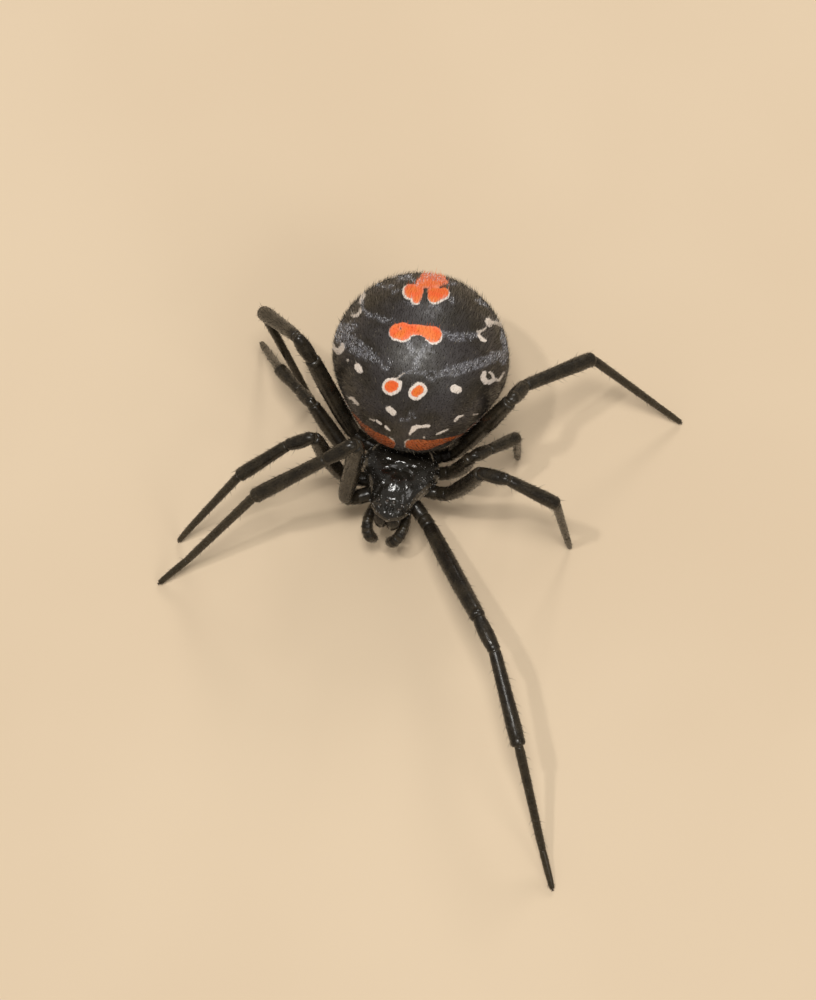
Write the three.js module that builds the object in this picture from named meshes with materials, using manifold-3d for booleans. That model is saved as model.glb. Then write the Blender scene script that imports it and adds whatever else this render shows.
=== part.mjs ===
// A female widow spider standing on a level floor, life size, in millimetres.
// The spider faces -Y, its own left is +X and +Z is up. Heights are measured from the coxae,
// which all leave the body at one level, COXA_HEIGHT above the floor.
// Every joint of every leg is a piece of its own, held a hair's breadth from its neighbours.

import * as THREE from 'three';
import { mergeVertices } from 'three/addons/utils/BufferGeometryUtils.js';
import Module from 'manifold-3d';

const wasm = await Module();
wasm.setup();

// Driving dimensions shared by the whole body
const GAP = 0.13;
const LEG_SIDES = 10;
const COXA_HEIGHT = 3.0;
const THINNEST_HALF = 0.25;
const THINNEST_END = 0.2;

// The head and thorax are turned a little on the legs, about an upright axis through the head,
// in degrees: seen from above the head looks to the spider's right
const PROSOMA = { turn: -5, pivot: [0, -3.25] };

// Head and thorax: outline of the carapace from its front edge to its rear edge,
// as distance along the body, half width and height of the top
const CARAPACE = {
  rim: 0.44,
  lip: 0.07,
  fullness: 0.82,
  sides: 22,
  outline: [
    [-3.58, 0.60, 0.72],
    [-3.50, 0.76, 0.94],
    [-3.34, 0.88, 1.10],
    [-3.08, 0.98, 1.25],
    [-2.72, 1.08, 1.38],
    [-2.38, 1.24, 1.43],
    [-2.06, 1.46, 1.40],
    [-1.76, 1.64, 1.32],
    [-1.52, 1.71, 1.26],
    [-1.36, 1.73, 1.24],
    [-1.20, 1.72, 1.22],
    [-1.00, 1.66, 1.15],
    [-0.70, 1.48, 0.94],
    [-0.40, 1.17, 0.72],
    [-0.14, 0.78, 0.56],
    [-0.02, 0.44, 0.49],
  ],
  // The cross groove in the middle of the thorax, and the pair of grooves behind the head
  fovea: { y: -1.36, depth: 0.2, halfWidth: 0.4, halfLength: 0.12 },
  headGroove: { x: 0.92, y: -2.1, depth: 0.09, halfWidth: 0.22, halfLength: 0.34 },
};
const CORE = { y: -1.55, halfWidth: 0.78, halfLength: 1.24, bottom: -0.46, edge: 0.1 };
const STERNUM = { y: -1.5, halfWidth: 0.74, halfLength: 1.1, top: -0.58, thickness: 0.3, edge: 0.35 };
const PLATE_BULGE = 0.35;
const MAXILLA = {
  x: 0.27, y: -2.72, z: -0.70, half: 0.24, end: 0.15, length: 0.62, fall: 0.05, closing: 0.85, tall: 0.62,
};

// Abdomen: a nearly round ball that overhangs the rear slope of the carapace
const ABDOMEN = {
  centre: new THREE.Vector3(0.2, 2.88, 2.8),
  half: new THREE.Vector3(3.98, 4.05, 3.9),
  rings: 22,
  sides: 28,
  waist: { towards: new THREE.Vector3(0, -0.72, -0.7), change: -0.11, spread: 24 },
  flank: { towards: new THREE.Vector3(0.82, -0.52, -0.22), change: -0.1, spread: 26 },
  tail: { towards: new THREE.Vector3(0, 0.78, -0.62), change: 0.045, spread: 34 },
};
const PEDICEL = {
  half: 0.3,
  from: new THREE.Vector3(0, -0.18, 0.1),
  to: new THREE.Vector3(0.05, 0.6, 0.46),
};
const SPINNERETS = {
  towards: new THREE.Vector3(0, 0.62, -0.79),
  outward: new THREE.Vector3(0, 0.35, -0.94),
  mound: { radius: 0.62, flatness: 0.62, rise: 0.06 },
  root: 0.3,
  closing: 0.3,
  front: { x: 0.24, y: -0.16, half: 0.22, length: 0.62 },
  rear: { x: 0.2, y: 0.26, half: 0.18, length: 0.5 },
};

// Mouthparts and feelers
const CHELICERA = {
  path: [[0.34, -3.2, 0.1], [0.36, -3.56, -0.06], [0.33, -3.78, -0.42]],
  halves: [0.22, 0.28, 0.29, 0.26, 0.18],
  fang: [[0.27, -3.74, -0.42], [0.2, -3.58, -0.6], [0.1, -3.32, -0.64]],
  fangHalves: [0.1, 0.08, 0.03],
};
const PALP = {
  path: [
    [0.66, -2.72, -0.6], [0.86, -3.3, -0.62], [0.92, -3.88, -0.56], [0.84, -4.18, -0.7], [0.6, -4.44, -1.36],
  ],
  half: 0.25,
  turnInwards: { left: 7, right: 0 },
};
// Eyes in two rows of four: x, distance along the body and radius; the height follows the head
const EYES = {
  front_middle: [0.12, -3.4, 0.075],
  front_side: [0.42, -3.36, 0.07],
  rear_middle: [0.15, -3.14, 0.075],
  rear_side: [0.52, -3.18, 0.07],
};
const EYE_SOCKET = 0.03;
const EYE_SINK = 0.02;

// Leg pairs from front to rear: where the coxa leaves the body, and the length of each joint
const LEG_PAIRS = {
  1: { root: [0.6, -2.4], coxa: 1.25, trochanter: 0.55, femur: 5.6, patella: 1.7, tibia: 4.3,
    metatarsus: 5.4, tarsus: 1.9, girth: 1.0 },
  2: { root: [0.75, -1.95], coxa: 1.25, trochanter: 0.55, femur: 3.8, patella: 1.4, tibia: 2.8,
    metatarsus: 4.05, tarsus: 1.5, girth: 0.92 },
  3: { root: [0.75, -1.3], coxa: 1.25, trochanter: 0.55, femur: 3.1, patella: 1.15, tibia: 1.9,
    metatarsus: 2.8, tarsus: 1.15, girth: 0.88 },
  4: { root: [0.52, -0.68], coxa: 1.4, trochanter: 0.55, femur: 5.3, patella: 1.5, tibia: 4.0,
    metatarsus: 5.0, tarsus: 1.6, girth: 0.99 },
};

// The stance: each joint's turn from straight ahead towards its own side, then its rise above
// level, in degrees. The foot has a turn only, because its fall is worked out to meet the floor.
const STANCE = {
  left_1: { coxa: [47, -7], femur: [35, 23], patella: [35, 4], tibia: [25, -11], foot: 26, lift: 13 },
  right_1: { coxa: [63, -9], femur: [200, 78], patella: [59, -29], tibia: [63, -39], foot: 48, lift: 13 },
  left_2: { coxa: [85, -7], femur: [101, 69], patella: [80, 20], tibia: [84, -37], foot: 62, lift: 1 },
  right_2: { coxa: [86, -12], femur: [112, 69], patella: [71, -29], tibia: [55, -32], foot: 46, lift: -6 },
  left_3: { coxa: [103, -26], femur: [92, 74], patella: [133, -31], tibia: [135, -36], foot: 151, lift: 0 },
  right_3: { coxa: [102, -22], femur: [126, 44], patella: [133, -30], tibia: [134, -32], foot: 147, lift: 0 },
  left_4: { coxa: [106, -9], femur: [124, 60], patella: [155, -35], tibia: [131, -28], foot: 79, lift: 0 },
  right_4: { coxa: [109, -7], femur: [129, 59], patella: [126, 49], tibia: [132, -50], foot: -50, lift: -6 },
};

// Half thickness along each joint, as [part of its length, millimetres on the first leg]
const GIRTHS = {
  femur: [[0, 0.27], [0.05, 0.34], [0.3, 0.39], [0.62, 0.39], [0.93, 0.36], [1, 0.29]],
  patella: [[0, 0.26], [0.12, 0.32], [0.5, 0.35], [0.88, 0.32], [1, 0.26]],
  tibia: [[0, 0.24], [0.06, 0.29], [0.4, 0.31], [0.8, 0.35], [0.95, 0.34], [1, 0.26]],
};
const COXA_GIRTH = { inner: 0.27, middle: 0.33, neck: 0.30, trochanter: 0.33, end: 0.28, tall: 1.1 };
const FOOT_GIRTH = { metatarsus: 0.25, ankle: 0.23, tarsus: 0.19, tip: 0.11 };
const FEMUR_BOW = 0.14;
const TIP_BELOW_FLOOR = 0.3;
// Part of a length over which the sections lean towards the bend at its end
const LEAN_REACH = 0.5;

const rad = THREE.MathUtils.degToRad;
const mirrored = ([x, y, z], side) => new THREE.Vector3(side * x, y, z);

/** A closed solid through rings of points, each end closed by a fan to the given point. */
function loft(rings, firstPole, lastPole) {
  const count = rings[0].length;
  const middle = (ring) => ring.reduce((sum, p) => sum.add(p), new THREE.Vector3()).divideScalar(count);
  const points = [...rings.flat(), firstPole ?? middle(rings[0]), lastPole ?? middle(rings.at(-1))];
  const firstIndex = points.length - 2;
  const lastIndex = points.length - 1;
  const faces = [];
  for (let i = 0; i < count; i += 1) {
    const next = (i + 1) % count;
    faces.push([firstIndex, next, i]);
    for (let ring = 0; ring < rings.length - 1; ring += 1) {
      const a = ring * count;
      const b = a + count;
      faces.push([a + i, a + next, b + next], [a + i, b + next, b + i]);
    }
    const end = (rings.length - 1) * count;
    faces.push([lastIndex, end + i, end + next]);
  }
  const volume = faces.reduce((sum, [a, b, c]) =>
    sum + points[a].dot(new THREE.Vector3().crossVectors(points[b], points[c])), 0);
  const outward = volume > 0 ? faces : faces.map(([a, b, c]) => [a, c, b]);
  const geometry = new THREE.BufferGeometry().setFromPoints(points);
  geometry.setIndex(outward.flat());
  return geometry;
}

/** The solid that a closed geometry bounds, ready to be joined or cut. */
function solid(geometry) {
  const bare = geometry.clone();
  bare.deleteAttribute('normal');
  bare.deleteAttribute('uv');
  const merged = mergeVertices(bare, 1e-5);
  return new wasm.Manifold(new wasm.Mesh({
    numProp: 3,
    vertProperties: new Float32Array(merged.attributes.position.array),
    triVerts: new Uint32Array(merged.index.array),
  }));
}

/** The largest closed body of a joined or cut solid, as a geometry. */
function geometryOf(shape) {
  const largest = shape.decompose().reduce((a, b) => (b.volume() > a.volume() ? b : a));
  const mesh = largest.getMesh();
  const geometry = new THREE.BufferGeometry();
  geometry.setAttribute('position', new THREE.BufferAttribute(new Float32Array(mesh.vertProperties), 3));
  geometry.setIndex(new THREE.BufferAttribute(new Uint32Array(mesh.triVerts), 1));
  return geometry;
}

/** One solid out of several overlapping geometries. */
const joined = (geometries) => geometries.map(solid).reduce((a, b) => a.add(b));

/** A point turned with the head and thorax. */
function turned(point) {
  const [x, y] = PROSOMA.pivot;
  const pivot = new THREE.Vector3(x, y, 0);
  return point.clone().sub(pivot).applyAxisAngle(new THREE.Vector3(0, 0, 1), rad(PROSOMA.turn)).add(pivot);
}

/** A geometry turned with the head and thorax. */
function turnedGeometry(geometry) {
  const [x, y] = PROSOMA.pivot;
  return geometry.translate(-x, -y, 0).rotateZ(rad(PROSOMA.turn)).translate(x, y, 0);
}

/** Sphere with its poles along the body, for eyes and their sockets. */
function ball(centre, radius, around = 10, along = 7) {
  const geometry = new THREE.SphereGeometry(radius, around, along);
  geometry.translate(centre.x, centre.y, centre.z);
  return geometry;
}

/** Direction from a turn and a rise in degrees, for a leg on the given side (left +1, right -1). */
function heading([turn, rise], side) {
  const level = Math.cos(rad(rise));
  return new THREE.Vector3(
    side * level * Math.sin(rad(turn)), -level * Math.cos(rad(turn)), Math.sin(rad(rise)));
}

/**
 * A limb: round sections along a chain of straight lengths. Each station is [length number, part of
 * that length, half thickness]. Sections lean over towards each bend, so both ends can be mitred to
 * the planes whose normals are given.
 */
function limb(points, stations, { start, end, sides = LEG_SIDES, tall = 1, bow = 0 } = {}) {
  const lengths = points.slice(1).map((p, i) => p.distanceTo(points[i]));
  const axes = points.slice(1).map((p, i) => p.clone().sub(points[i]).normalize());
  const planes = [start ?? axes[0]];
  for (let i = 1; i < axes.length; i += 1) planes.push(axes[i - 1].clone().add(axes[i]).normalize());
  planes.push(end ?? axes.at(-1));

  const across = new THREE.Vector3(-axes[0].y, axes[0].x, 0).normalize();
  const frames = axes.map((axis, i) => {
    if (i > 0) across.applyQuaternion(new THREE.Quaternion().setFromUnitVectors(axes[i - 1], axis));
    return { axis, across: across.clone(), up: new THREE.Vector3().crossVectors(across, axis) };
  });

  const rings = stations.map(([number, part, half]) => {
    const { axis, across: wide, up } = frames[number];
    const length = lengths[number];
    const centre = points[number].clone().lerp(points[number + 1], part);
    centre.addScaledVector(up, bow * Math.sin(Math.PI * part));
    const lean = (offset, plane, distance) => {
      const share = Math.max(0, 1 - distance / (LEAN_REACH * length));
      return -share * offset.dot(plane) / axis.dot(plane);
    };
    return Array.from({ length: sides }, (_, i) => {
      const angle = (2 * Math.PI * i) / sides;
      const offset = wide.clone().multiplyScalar(half * Math.cos(angle));
      offset.addScaledVector(up, half * tall * Math.sin(angle));
      const slide = lean(offset, planes[number], part * length)
        + lean(offset, planes[number + 1], (1 - part) * length);
      return centre.clone().add(offset).addScaledVector(axis, slide);
    });
  });
  return loft(rings);
}

/** Distance along a limb by which its mitred face stands back from a joint. */
const setBack = (axis, plane) => 0.5 * GAP / axis.dot(plane);

/** One straight joint of a leg between two mitred faces. */
function legJoint(from, to, before, after, girth, scale, bow) {
  const axis = to.clone().sub(from).normalize();
  const start = axis.clone().add(before).normalize();
  const end = axis.clone().add(after).normalize();
  const a = from.clone().addScaledVector(axis, setBack(axis, start));
  const b = to.clone().addScaledVector(axis, -setBack(axis, end));
  const stations = girth.map(([part, half]) => {
    const least = part === 0 || part === 1 ? THINNEST_END : THINNEST_HALF;
    return [0, part, Math.max(least, half * scale)];
  });
  return limb([a, b], stations, { start, end, bow });
}

/** Rise of the metatarsus that brings the tarsus down to the floor from the given height. */
function footRise(height, metatarsus, tarsus, lift) {
  let low = -89.5;
  let high = 0;
  for (let i = 0; i < 40; i += 1) {
    const rise = 0.5 * (low + high);
    const tip = height + metatarsus * Math.sin(rad(rise)) + tarsus * Math.sin(rad(rise + lift));
    if (tip > 0) high = rise;
    else low = rise;
  }
  return 0.5 * (low + high);
}

/** Elliptical slab in plan, rounded over its edge, between two heights. */
function plate(centreY, halfWidth, halfLength, bottom, top, edge, sides = 20) {
  const level = (z, scale) => Array.from({ length: sides }, (_, i) => {
    const angle = (2 * Math.PI * i) / sides;
    return new THREE.Vector3(
      halfWidth * scale * Math.cos(angle), centreY + halfLength * scale * Math.sin(angle), z);
  });
  return loft([
    level(bottom, 1 - edge), level(bottom + PLATE_BULGE * (top - bottom), 1), level(top, 1),
  ]);
}

/** One section across the carapace, from the outline and its grooves. */
function carapaceSection(index) {
  const { rim, lip, fullness, sides, outline, fovea, headGroove } = CARAPACE;
  const [y, halfWidth, top] = outline[index];
  const bump = (x, x0, y0, wide, long) =>
    Math.exp(-(((x - x0) / wide) ** 2) - ((y - y0) / long) ** 2);
  return Array.from({ length: sides }, (_, i) => {
    const angle = (2 * Math.PI * i) / sides;
    const cosine = Math.cos(angle);
    const sine = Math.sin(angle);
    const x = halfWidth * Math.sign(cosine) * Math.abs(cosine) ** fullness;
    if (sine < 0) return new THREE.Vector3(x, y, rim - lip * -sine);
    const groove = fovea.depth * bump(x, 0, fovea.y, fovea.halfWidth, fovea.halfLength)
      + headGroove.depth * bump(Math.abs(x), headGroove.x, headGroove.y, headGroove.halfWidth,
        headGroove.halfLength);
    return new THREE.Vector3(x, y, rim + (top - rim - groove) * sine ** fullness);
  });
}

/** Point on the head's upper side above (x, y), found by blending the two nearest sections. */
function headTop(x, y) {
  const { rim, fullness, outline } = CARAPACE;
  const index = outline.findIndex(([at], i) => i > 0 && at >= y);
  const [y0, w0, t0] = outline[index - 1];
  const [y1, w1, t1] = outline[index];
  const part = (y - y0) / (y1 - y0);
  const halfWidth = w0 + part * (w1 - w0);
  const top = t0 + part * (t1 - t0);
  const cosine = Math.min(1, Math.abs(x) / halfWidth) ** (1 / fullness);
  return new THREE.Vector3(x, y, rim + (top - rim) * Math.sqrt(1 - cosine ** 2) ** fullness);
}

/** Where each eye sits: sunk a little below the head's surface. */
function eyePlaces() {
  return ['left', 'right'].flatMap((sideName) => Object.entries(EYES).map(([row, [x, y, radius]]) => {
    const side = sideName === 'left' ? 1 : -1;
    const centre = turned(headTop(side * x, y));
    centre.z -= EYE_SINK;
    return { name: `eye_${sideName}_${row}`, centre, radius };
  }));
}

/** The bulk of the thorax below the carapace, grown by an allowance to cut its neighbours. */
function core(allowance = 0) {
  return turnedGeometry(plate(CORE.y, CORE.halfWidth + allowance, CORE.halfLength + allowance,
    CORE.bottom - allowance, CARAPACE.rim, CORE.edge));
}

/** The carapace with the thorax under it, and a socket for each eye. */
function carapace() {
  const shell = turnedGeometry(loft(CARAPACE.outline.map((_, i) => carapaceSection(i))));
  const sockets = eyePlaces().map(({ centre, radius }) => ball(centre, radius + EYE_SOCKET));
  return geometryOf(joined([shell, core()]).subtract(joined(sockets)));
}

/** The breastplate, with the lip and the two maxillae in front of it. */
function sternum() {
  const { y, halfWidth, halfLength, top, thickness, edge } = STERNUM;
  const { half, end, length, fall, closing, tall } = MAXILLA;
  const shield = plate(y, halfWidth, halfLength, top - thickness, top, edge);
  const lobes = [-1, 1].map((side) => limb([
    new THREE.Vector3(side * MAXILLA.x, MAXILLA.y + 0.5 * length, MAXILLA.z - fall),
    new THREE.Vector3(side * MAXILLA.x * closing, MAXILLA.y - 0.5 * length, MAXILLA.z),
  ], [[0, 0, end], [0, 0.2, half], [0, 0.8, half], [0, 1, end]], { sides: 8, tall }));
  return turnedGeometry(geometryOf(joined([shield, ...lobes])));
}

/** The abdomen's surface in a direction from its centre, moved outwards by an allowance. */
function abdomenPoint(direction, allowance = 0) {
  const { centre, half, waist, flank, tail } = ABDOMEN;
  const swell = ({ towards, change, spread }, mirror) => {
    const aim = new THREE.Vector3(mirror * towards.x, towards.y, towards.z).normalize();
    return change * Math.exp(-((direction.angleTo(aim) / rad(spread)) ** 2));
  };
  const scale = 1 + swell(waist, 1) + swell(tail, 1) + swell(flank, 1) + swell(flank, -1);
  return direction.clone().multiply(half).multiplyScalar(scale)
    .addScaledVector(direction, allowance).add(centre);
}

/** The abdomen, ringed from its front pole to its rear pole. */
function abdomen(allowance = 0) {
  const { rings: count, sides } = ABDOMEN;
  const rings = Array.from({ length: count }, (_, i) => {
    const fromFront = (Math.PI * (i + 1)) / (count + 1);
    return Array.from({ length: sides }, (__, j) => {
      const angle = (2 * Math.PI * j) / sides;
      return abdomenPoint(new THREE.Vector3(
        Math.sin(fromFront) * Math.cos(angle), -Math.cos(fromFront), Math.sin(fromFront) * Math.sin(angle)),
      allowance);
    });
  });
  return loft(rings, abdomenPoint(new THREE.Vector3(0, -1, 0), allowance),
    abdomenPoint(new THREE.Vector3(0, 1, 0), allowance));
}

/** The narrow waist between the thorax and the abdomen, cut to fit both. */
function pedicel() {
  const { half, from, to } = PEDICEL;
  const stalk = limb([turned(from), to], [[0, 0, half], [0, 0.5, half], [0, 1, half]], { sides: 12 });
  return geometryOf(solid(stalk).subtract(solid(core(GAP))).subtract(solid(abdomen(GAP))));
}

/** Two pairs of spinnerets on one low mound, cut to fit the abdomen. */
function spinnerets() {
  const { towards, mound, root, closing, front, rear } = SPINNERETS;
  const base = abdomenPoint(towards.clone().normalize());
  const outward = SPINNERETS.outward.clone().normalize();
  const cones = [front, rear].flatMap(({ x, y, half, length }) => [-1, 1].map((side) => {
    const foot = base.clone().add(new THREE.Vector3(side * x, y, 0));
    const tip = foot.clone().addScaledVector(outward, length);
    tip.x -= side * x * closing;
    return limb([foot.clone().addScaledVector(outward, -root), tip],
      [[0, 0, half], [0, 0.6, half], [0, 0.9, half * 0.7], [0, 1, half * 0.4]], { sides: 8 });
  }));
  const swelling = new THREE.SphereGeometry(mound.radius, 14, 9);
  swelling.scale(1, 1, mound.flatness);
  swelling.translate(base.x, base.y, base.z + mound.rise);
  return geometryOf(joined([swelling, ...cones]).subtract(solid(abdomen(GAP))));
}

/** One jaw with its fang folded against it. */
function chelicera(side) {
  const [top, bulge, tip, end, point] = CHELICERA.halves;
  const [fangRoot, fangBend, fangPoint] = CHELICERA.fangHalves;
  const jaw = limb(CHELICERA.path.map((p) => mirrored(p, side)),
    [[0, 0, top], [0, 0.4, bulge], [0, 1, tip], [1, 0.6, end], [1, 1, point]]);
  const fang = limb(CHELICERA.fang.map((p) => mirrored(p, side)),
    [[0, 0, fangRoot], [0, 1, fangBend], [1, 1, fangPoint]], { sides: 6 });
  return turnedGeometry(geometryOf(joined([jaw, fang])));
}

/** One feeler from the side of the mouth, bent down in front of the jaws. */
function palp(sideName, side) {
  const { path, half, turnInwards } = PALP;
  const points = path.map((p) => mirrored(p, side));
  const base = points[0].clone();
  const inwards = -side * rad(turnInwards[sideName]);
  for (const point of points) point.sub(base).applyAxisAngle(new THREE.Vector3(0, 0, 1), inwards).add(base);
  return limb(points.map(turned), [
    [0, 0, half * 0.85], [0, 0.3, half], [0, 1, half], [1, 0.5, half * 1.04], [1, 1, half],
    [2, 1, half * 1.02], [3, 0.25, half * 1.06], [3, 0.75, half * 0.9], [3, 1, half * 0.45],
  ], { sides: 9 });
}

/** The five pieces of one leg, from the coxa to the foot. */
function leg(name) {
  const side = name.startsWith('left') ? 1 : -1;
  const sizes = LEG_PAIRS[name.at(-1)];
  const stance = STANCE[name];
  const coxaAxis = heading(stance.coxa, side);
  const femurAxis = heading(stance.femur, side);
  const trochanterAxis = coxaAxis.clone().add(femurAxis).normalize();
  const patellaAxis = heading(stance.patella, side);
  const tibiaAxis = heading(stance.tibia, side);

  const root = new THREE.Vector3(side * sizes.root[0], sizes.root[1], 0);
  const after = (point, axis, length) => point.clone().addScaledVector(axis, length);
  const coxaEnd = after(root, coxaAxis, sizes.coxa);
  const hip = after(coxaEnd, trochanterAxis, sizes.trochanter);
  const knee = after(hip, femurAxis, sizes.femur);
  const shin = after(knee, patellaAxis, sizes.patella);
  const heel = after(shin, tibiaAxis, sizes.tibia);
  const rise = footRise(heel.z + COXA_HEIGHT, sizes.metatarsus, sizes.tarsus, stance.lift);
  const metatarsusAxis = heading([stance.foot, rise], side);
  const tarsusAxis = heading([stance.foot, rise + stance.lift], side);
  const ankle = after(heel, metatarsusAxis, sizes.metatarsus);
  const tip = after(ankle, tarsusAxis, sizes.tarsus + TIP_BELOW_FLOOR);

  const coxaScale = 0.5 * (1 + sizes.girth);
  const { inner, middle, neck, trochanter, end, tall } = COXA_GIRTH;
  const hipPlane = trochanterAxis.clone().add(femurAxis).normalize();
  const hipFace = after(hip, trochanterAxis, -setBack(trochanterAxis, hipPlane));
  const coxa = limb([root, coxaEnd, hipFace], [
    [0, 0, inner * coxaScale], [0, 0.55, middle * coxaScale], [0, 1, neck * coxaScale],
    [1, 0.6, trochanter * coxaScale], [1, 1, end * coxaScale],
  ], { end: hipPlane, tall });
  const trimmedCoxa = geometryOf(solid(coxa).subtract(solid(core(GAP))));

  const heelPlane = tibiaAxis.clone().add(metatarsusAxis).normalize();
  const heelFace = after(heel, metatarsusAxis, setBack(metatarsusAxis, heelPlane));
  const foot = limb([heelFace, ankle, tip], [
    [0, 0, 0.2], [0, 0.04, FOOT_GIRTH.metatarsus], [0, 0.5, FOOT_GIRTH.metatarsus], [0, 1, FOOT_GIRTH.ankle],
    [1, 0.4, FOOT_GIRTH.tarsus], [1, 1, FOOT_GIRTH.tip],
  ], { start: heelPlane, sides: 8 });
  const standing = geometryOf(solid(foot).trimByPlane([0, 0, 1], -COXA_HEIGHT));

  return {
    coxa: trimmedCoxa,
    femur: legJoint(hip, knee, trochanterAxis, patellaAxis, GIRTHS.femur, sizes.girth, FEMUR_BOW),
    patella: legJoint(knee, shin, femurAxis, tibiaAxis, GIRTHS.patella, sizes.girth, 0),
    tibia: legJoint(shin, heel, patellaAxis, metatarsusAxis, GIRTHS.tibia, sizes.girth, 0),
    foot: standing,
  };
}

const finish = (color, roughness) => new THREE.MeshStandardMaterial({ color, roughness, metalness: 0 });
const MATERIALS = {
  carapace: finish(0x120e0c, 0.22),
  abdomen: finish(0x17110f, 0.3),
  leg: finish(0x15100d, 0.3),
  foot: finish(0x2a1c12, 0.42),
  jaw: finish(0x1d130d, 0.35),
  eye: finish(0x0a0a0c, 0.08),
};

const spider = new THREE.Group();

/** Adds one named piece to the spider. */
function add(name, geometry, material) {
  const mesh = new THREE.Mesh(geometry, material);
  mesh.name = name;
  spider.add(mesh);
}

add('carapace', carapace(), MATERIALS.carapace);
add('sternum', sternum(), MATERIALS.carapace);
add('pedicel', pedicel(), MATERIALS.carapace);
add('abdomen', abdomen(), MATERIALS.abdomen);
add('spinnerets', spinnerets(), MATERIALS.leg);
for (const sideName of ['left', 'right']) {
  const side = sideName === 'left' ? 1 : -1;
  add(`chelicera_${sideName}`, chelicera(side), MATERIALS.jaw);
  add(`palp_${sideName}`, palp(sideName, side), MATERIALS.leg);
}
for (const { name, centre, radius } of eyePlaces()) add(name, ball(centre, radius, 10, 7), MATERIALS.eye);
for (const name of Object.keys(STANCE)) {
  for (const [joint, geometry] of Object.entries(leg(name))) {
    add(`leg_${name}_${joint}`, geometry, joint === 'foot' ? MATERIALS.foot : MATERIALS.leg);
  }
}

// The origin is put on the floor below the middle of the whole spider's box
const box = new THREE.Box3().setFromObject(spider);
spider.position.set(-0.5 * (box.min.x + box.max.x), -0.5 * (box.min.y + box.max.y), COXA_HEIGHT);

const model = new THREE.Group();
model.add(spider);
export default model;
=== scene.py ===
"""The looks of a life-size black widow spider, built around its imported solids.

Every sub-assembly is a class: the abdomen, the carapace, the breastplate, the eyes, the mouthparts,
the legs and the bristles that grow on them all. Each reads its place from the solids. Meshes are
worked out in millimetres and written in metres.
"""

import logging
import math
from dataclasses import dataclass, field
from enum import Enum

import bpy
import numpy as np
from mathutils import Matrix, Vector


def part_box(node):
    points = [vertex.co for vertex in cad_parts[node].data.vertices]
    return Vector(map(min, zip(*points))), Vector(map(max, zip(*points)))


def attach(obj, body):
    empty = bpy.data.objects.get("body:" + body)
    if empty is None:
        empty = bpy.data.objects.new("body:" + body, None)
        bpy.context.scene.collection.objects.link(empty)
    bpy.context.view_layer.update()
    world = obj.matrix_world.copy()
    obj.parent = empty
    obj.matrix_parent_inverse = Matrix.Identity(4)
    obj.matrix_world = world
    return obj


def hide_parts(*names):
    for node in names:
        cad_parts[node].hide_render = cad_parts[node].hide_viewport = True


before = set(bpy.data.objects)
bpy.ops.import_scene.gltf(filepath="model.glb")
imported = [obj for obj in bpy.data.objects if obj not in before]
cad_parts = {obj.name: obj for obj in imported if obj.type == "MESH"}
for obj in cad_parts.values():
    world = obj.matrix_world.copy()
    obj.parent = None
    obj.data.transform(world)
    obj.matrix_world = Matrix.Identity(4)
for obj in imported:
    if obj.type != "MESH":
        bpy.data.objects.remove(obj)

LOG = logging.getLogger("spider")

Array = np.ndarray
Material = bpy.types.Material
Piece = bpy.types.Object
Socket = bpy.types.NodeSocket
Pair = tuple[float, float]
Triple = tuple[float, float, float]
Radii = list[Pair]  # parts of a tube's length, and its radius there
Fed = float | str | tuple | Socket  # what a node's input takes: a value or a link

MM = 0.001  # a millimetre in metres
BODY = "root"
COXA_HEIGHT = 3.0  # level of the hips over the floor
SKIN_CHART = "skin"  # chart that a skin is unrolled on
COAT_CHART = "OFBake"  # chart of a coat of bristles
TUFT_PATCH = 0.003  # share of the chart that one bristle takes
JOINT_REACH = 0.2  # how far apart two limb solids are where they meet, at most
JOINT_SLACK = 0.03  # room beyond the nearest points where they stand further apart
FAR = 9.0  # distance from a mark that doesn't reach a point
SIDES = (("left", 1), ("right", -1))
LIMB = ("coxa", "femur", "patella", "tibia", "foot")
# Of these, deep carries the painted shade on the front bands.
TINTS = ("cream", "orange", "deep")  # skin values that tint the bristles of the abdomen
UNKEPT = ("lie", "coat", "coat_length", "root", "patch", "membrane", "outward", SKIN_CHART, "UVMap",
          "cream", "orange", "deep", "blush", "dull", "down")  # skin values that few coats need


def unit(vector: Array) -> Array:
    """Vector or rows of vectors at length one."""
    return vector / np.linalg.norm(vector, axis=-1, keepdims=True)


def bell(distance: Array, width: float) -> Array:
    """Smooth bump: one at no distance, fading over the width."""
    return np.exp(-((distance / width) ** 2))


def step(value: Array, low: float, high: float) -> Array:
    """Smooth step from 0 at low to 1 at high."""
    part = np.clip((value - low) / (high - low), 0, 1)
    return part * part * (3 - 2 * part)


def travelled(line: Array) -> Array:
    """Distance from a line's start to each of its points."""
    return np.concatenate([[0], np.cumsum(np.linalg.norm(np.diff(line, axis=0), axis=1))])


def along_line(line: Array, distances: Array) -> Array:
    """Points at distances along a line of points."""
    gone = travelled(line)
    return np.stack([np.interp(distances, gone, line[:, k]) for k in range(3)], axis=-1)


def gap_to_stroke(points: Array, path: Array, halves: tuple[float, ...],
                  scale: float = 1.0) -> Array:
    """Distance to the edge of a stroke that is drawn thicker and thinner, below nothing inside it.

    Args:
        points: rows of points.
        path: the points that the stroke passes through.
        halves: half its width at each of them.
        scale: how many units of the points make one of the widths.

    Returns:
        One signed distance for each point.
    """
    if len(path) == 1:
        return np.linalg.norm(points - path[0], axis=1) / scale - halves[0]
    nearest = np.full(len(points), np.inf)
    for a, b, first, last in zip(path, path[1:], halves, halves[1:]):
        way = b - a
        part = np.clip((points - a) @ way / (way @ way), 0, 1)
        gap = np.linalg.norm(points - a - part[:, None] * way, axis=1) / scale
        nearest = np.minimum(nearest, gap - first - (last - first) * part)
    return nearest


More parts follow.
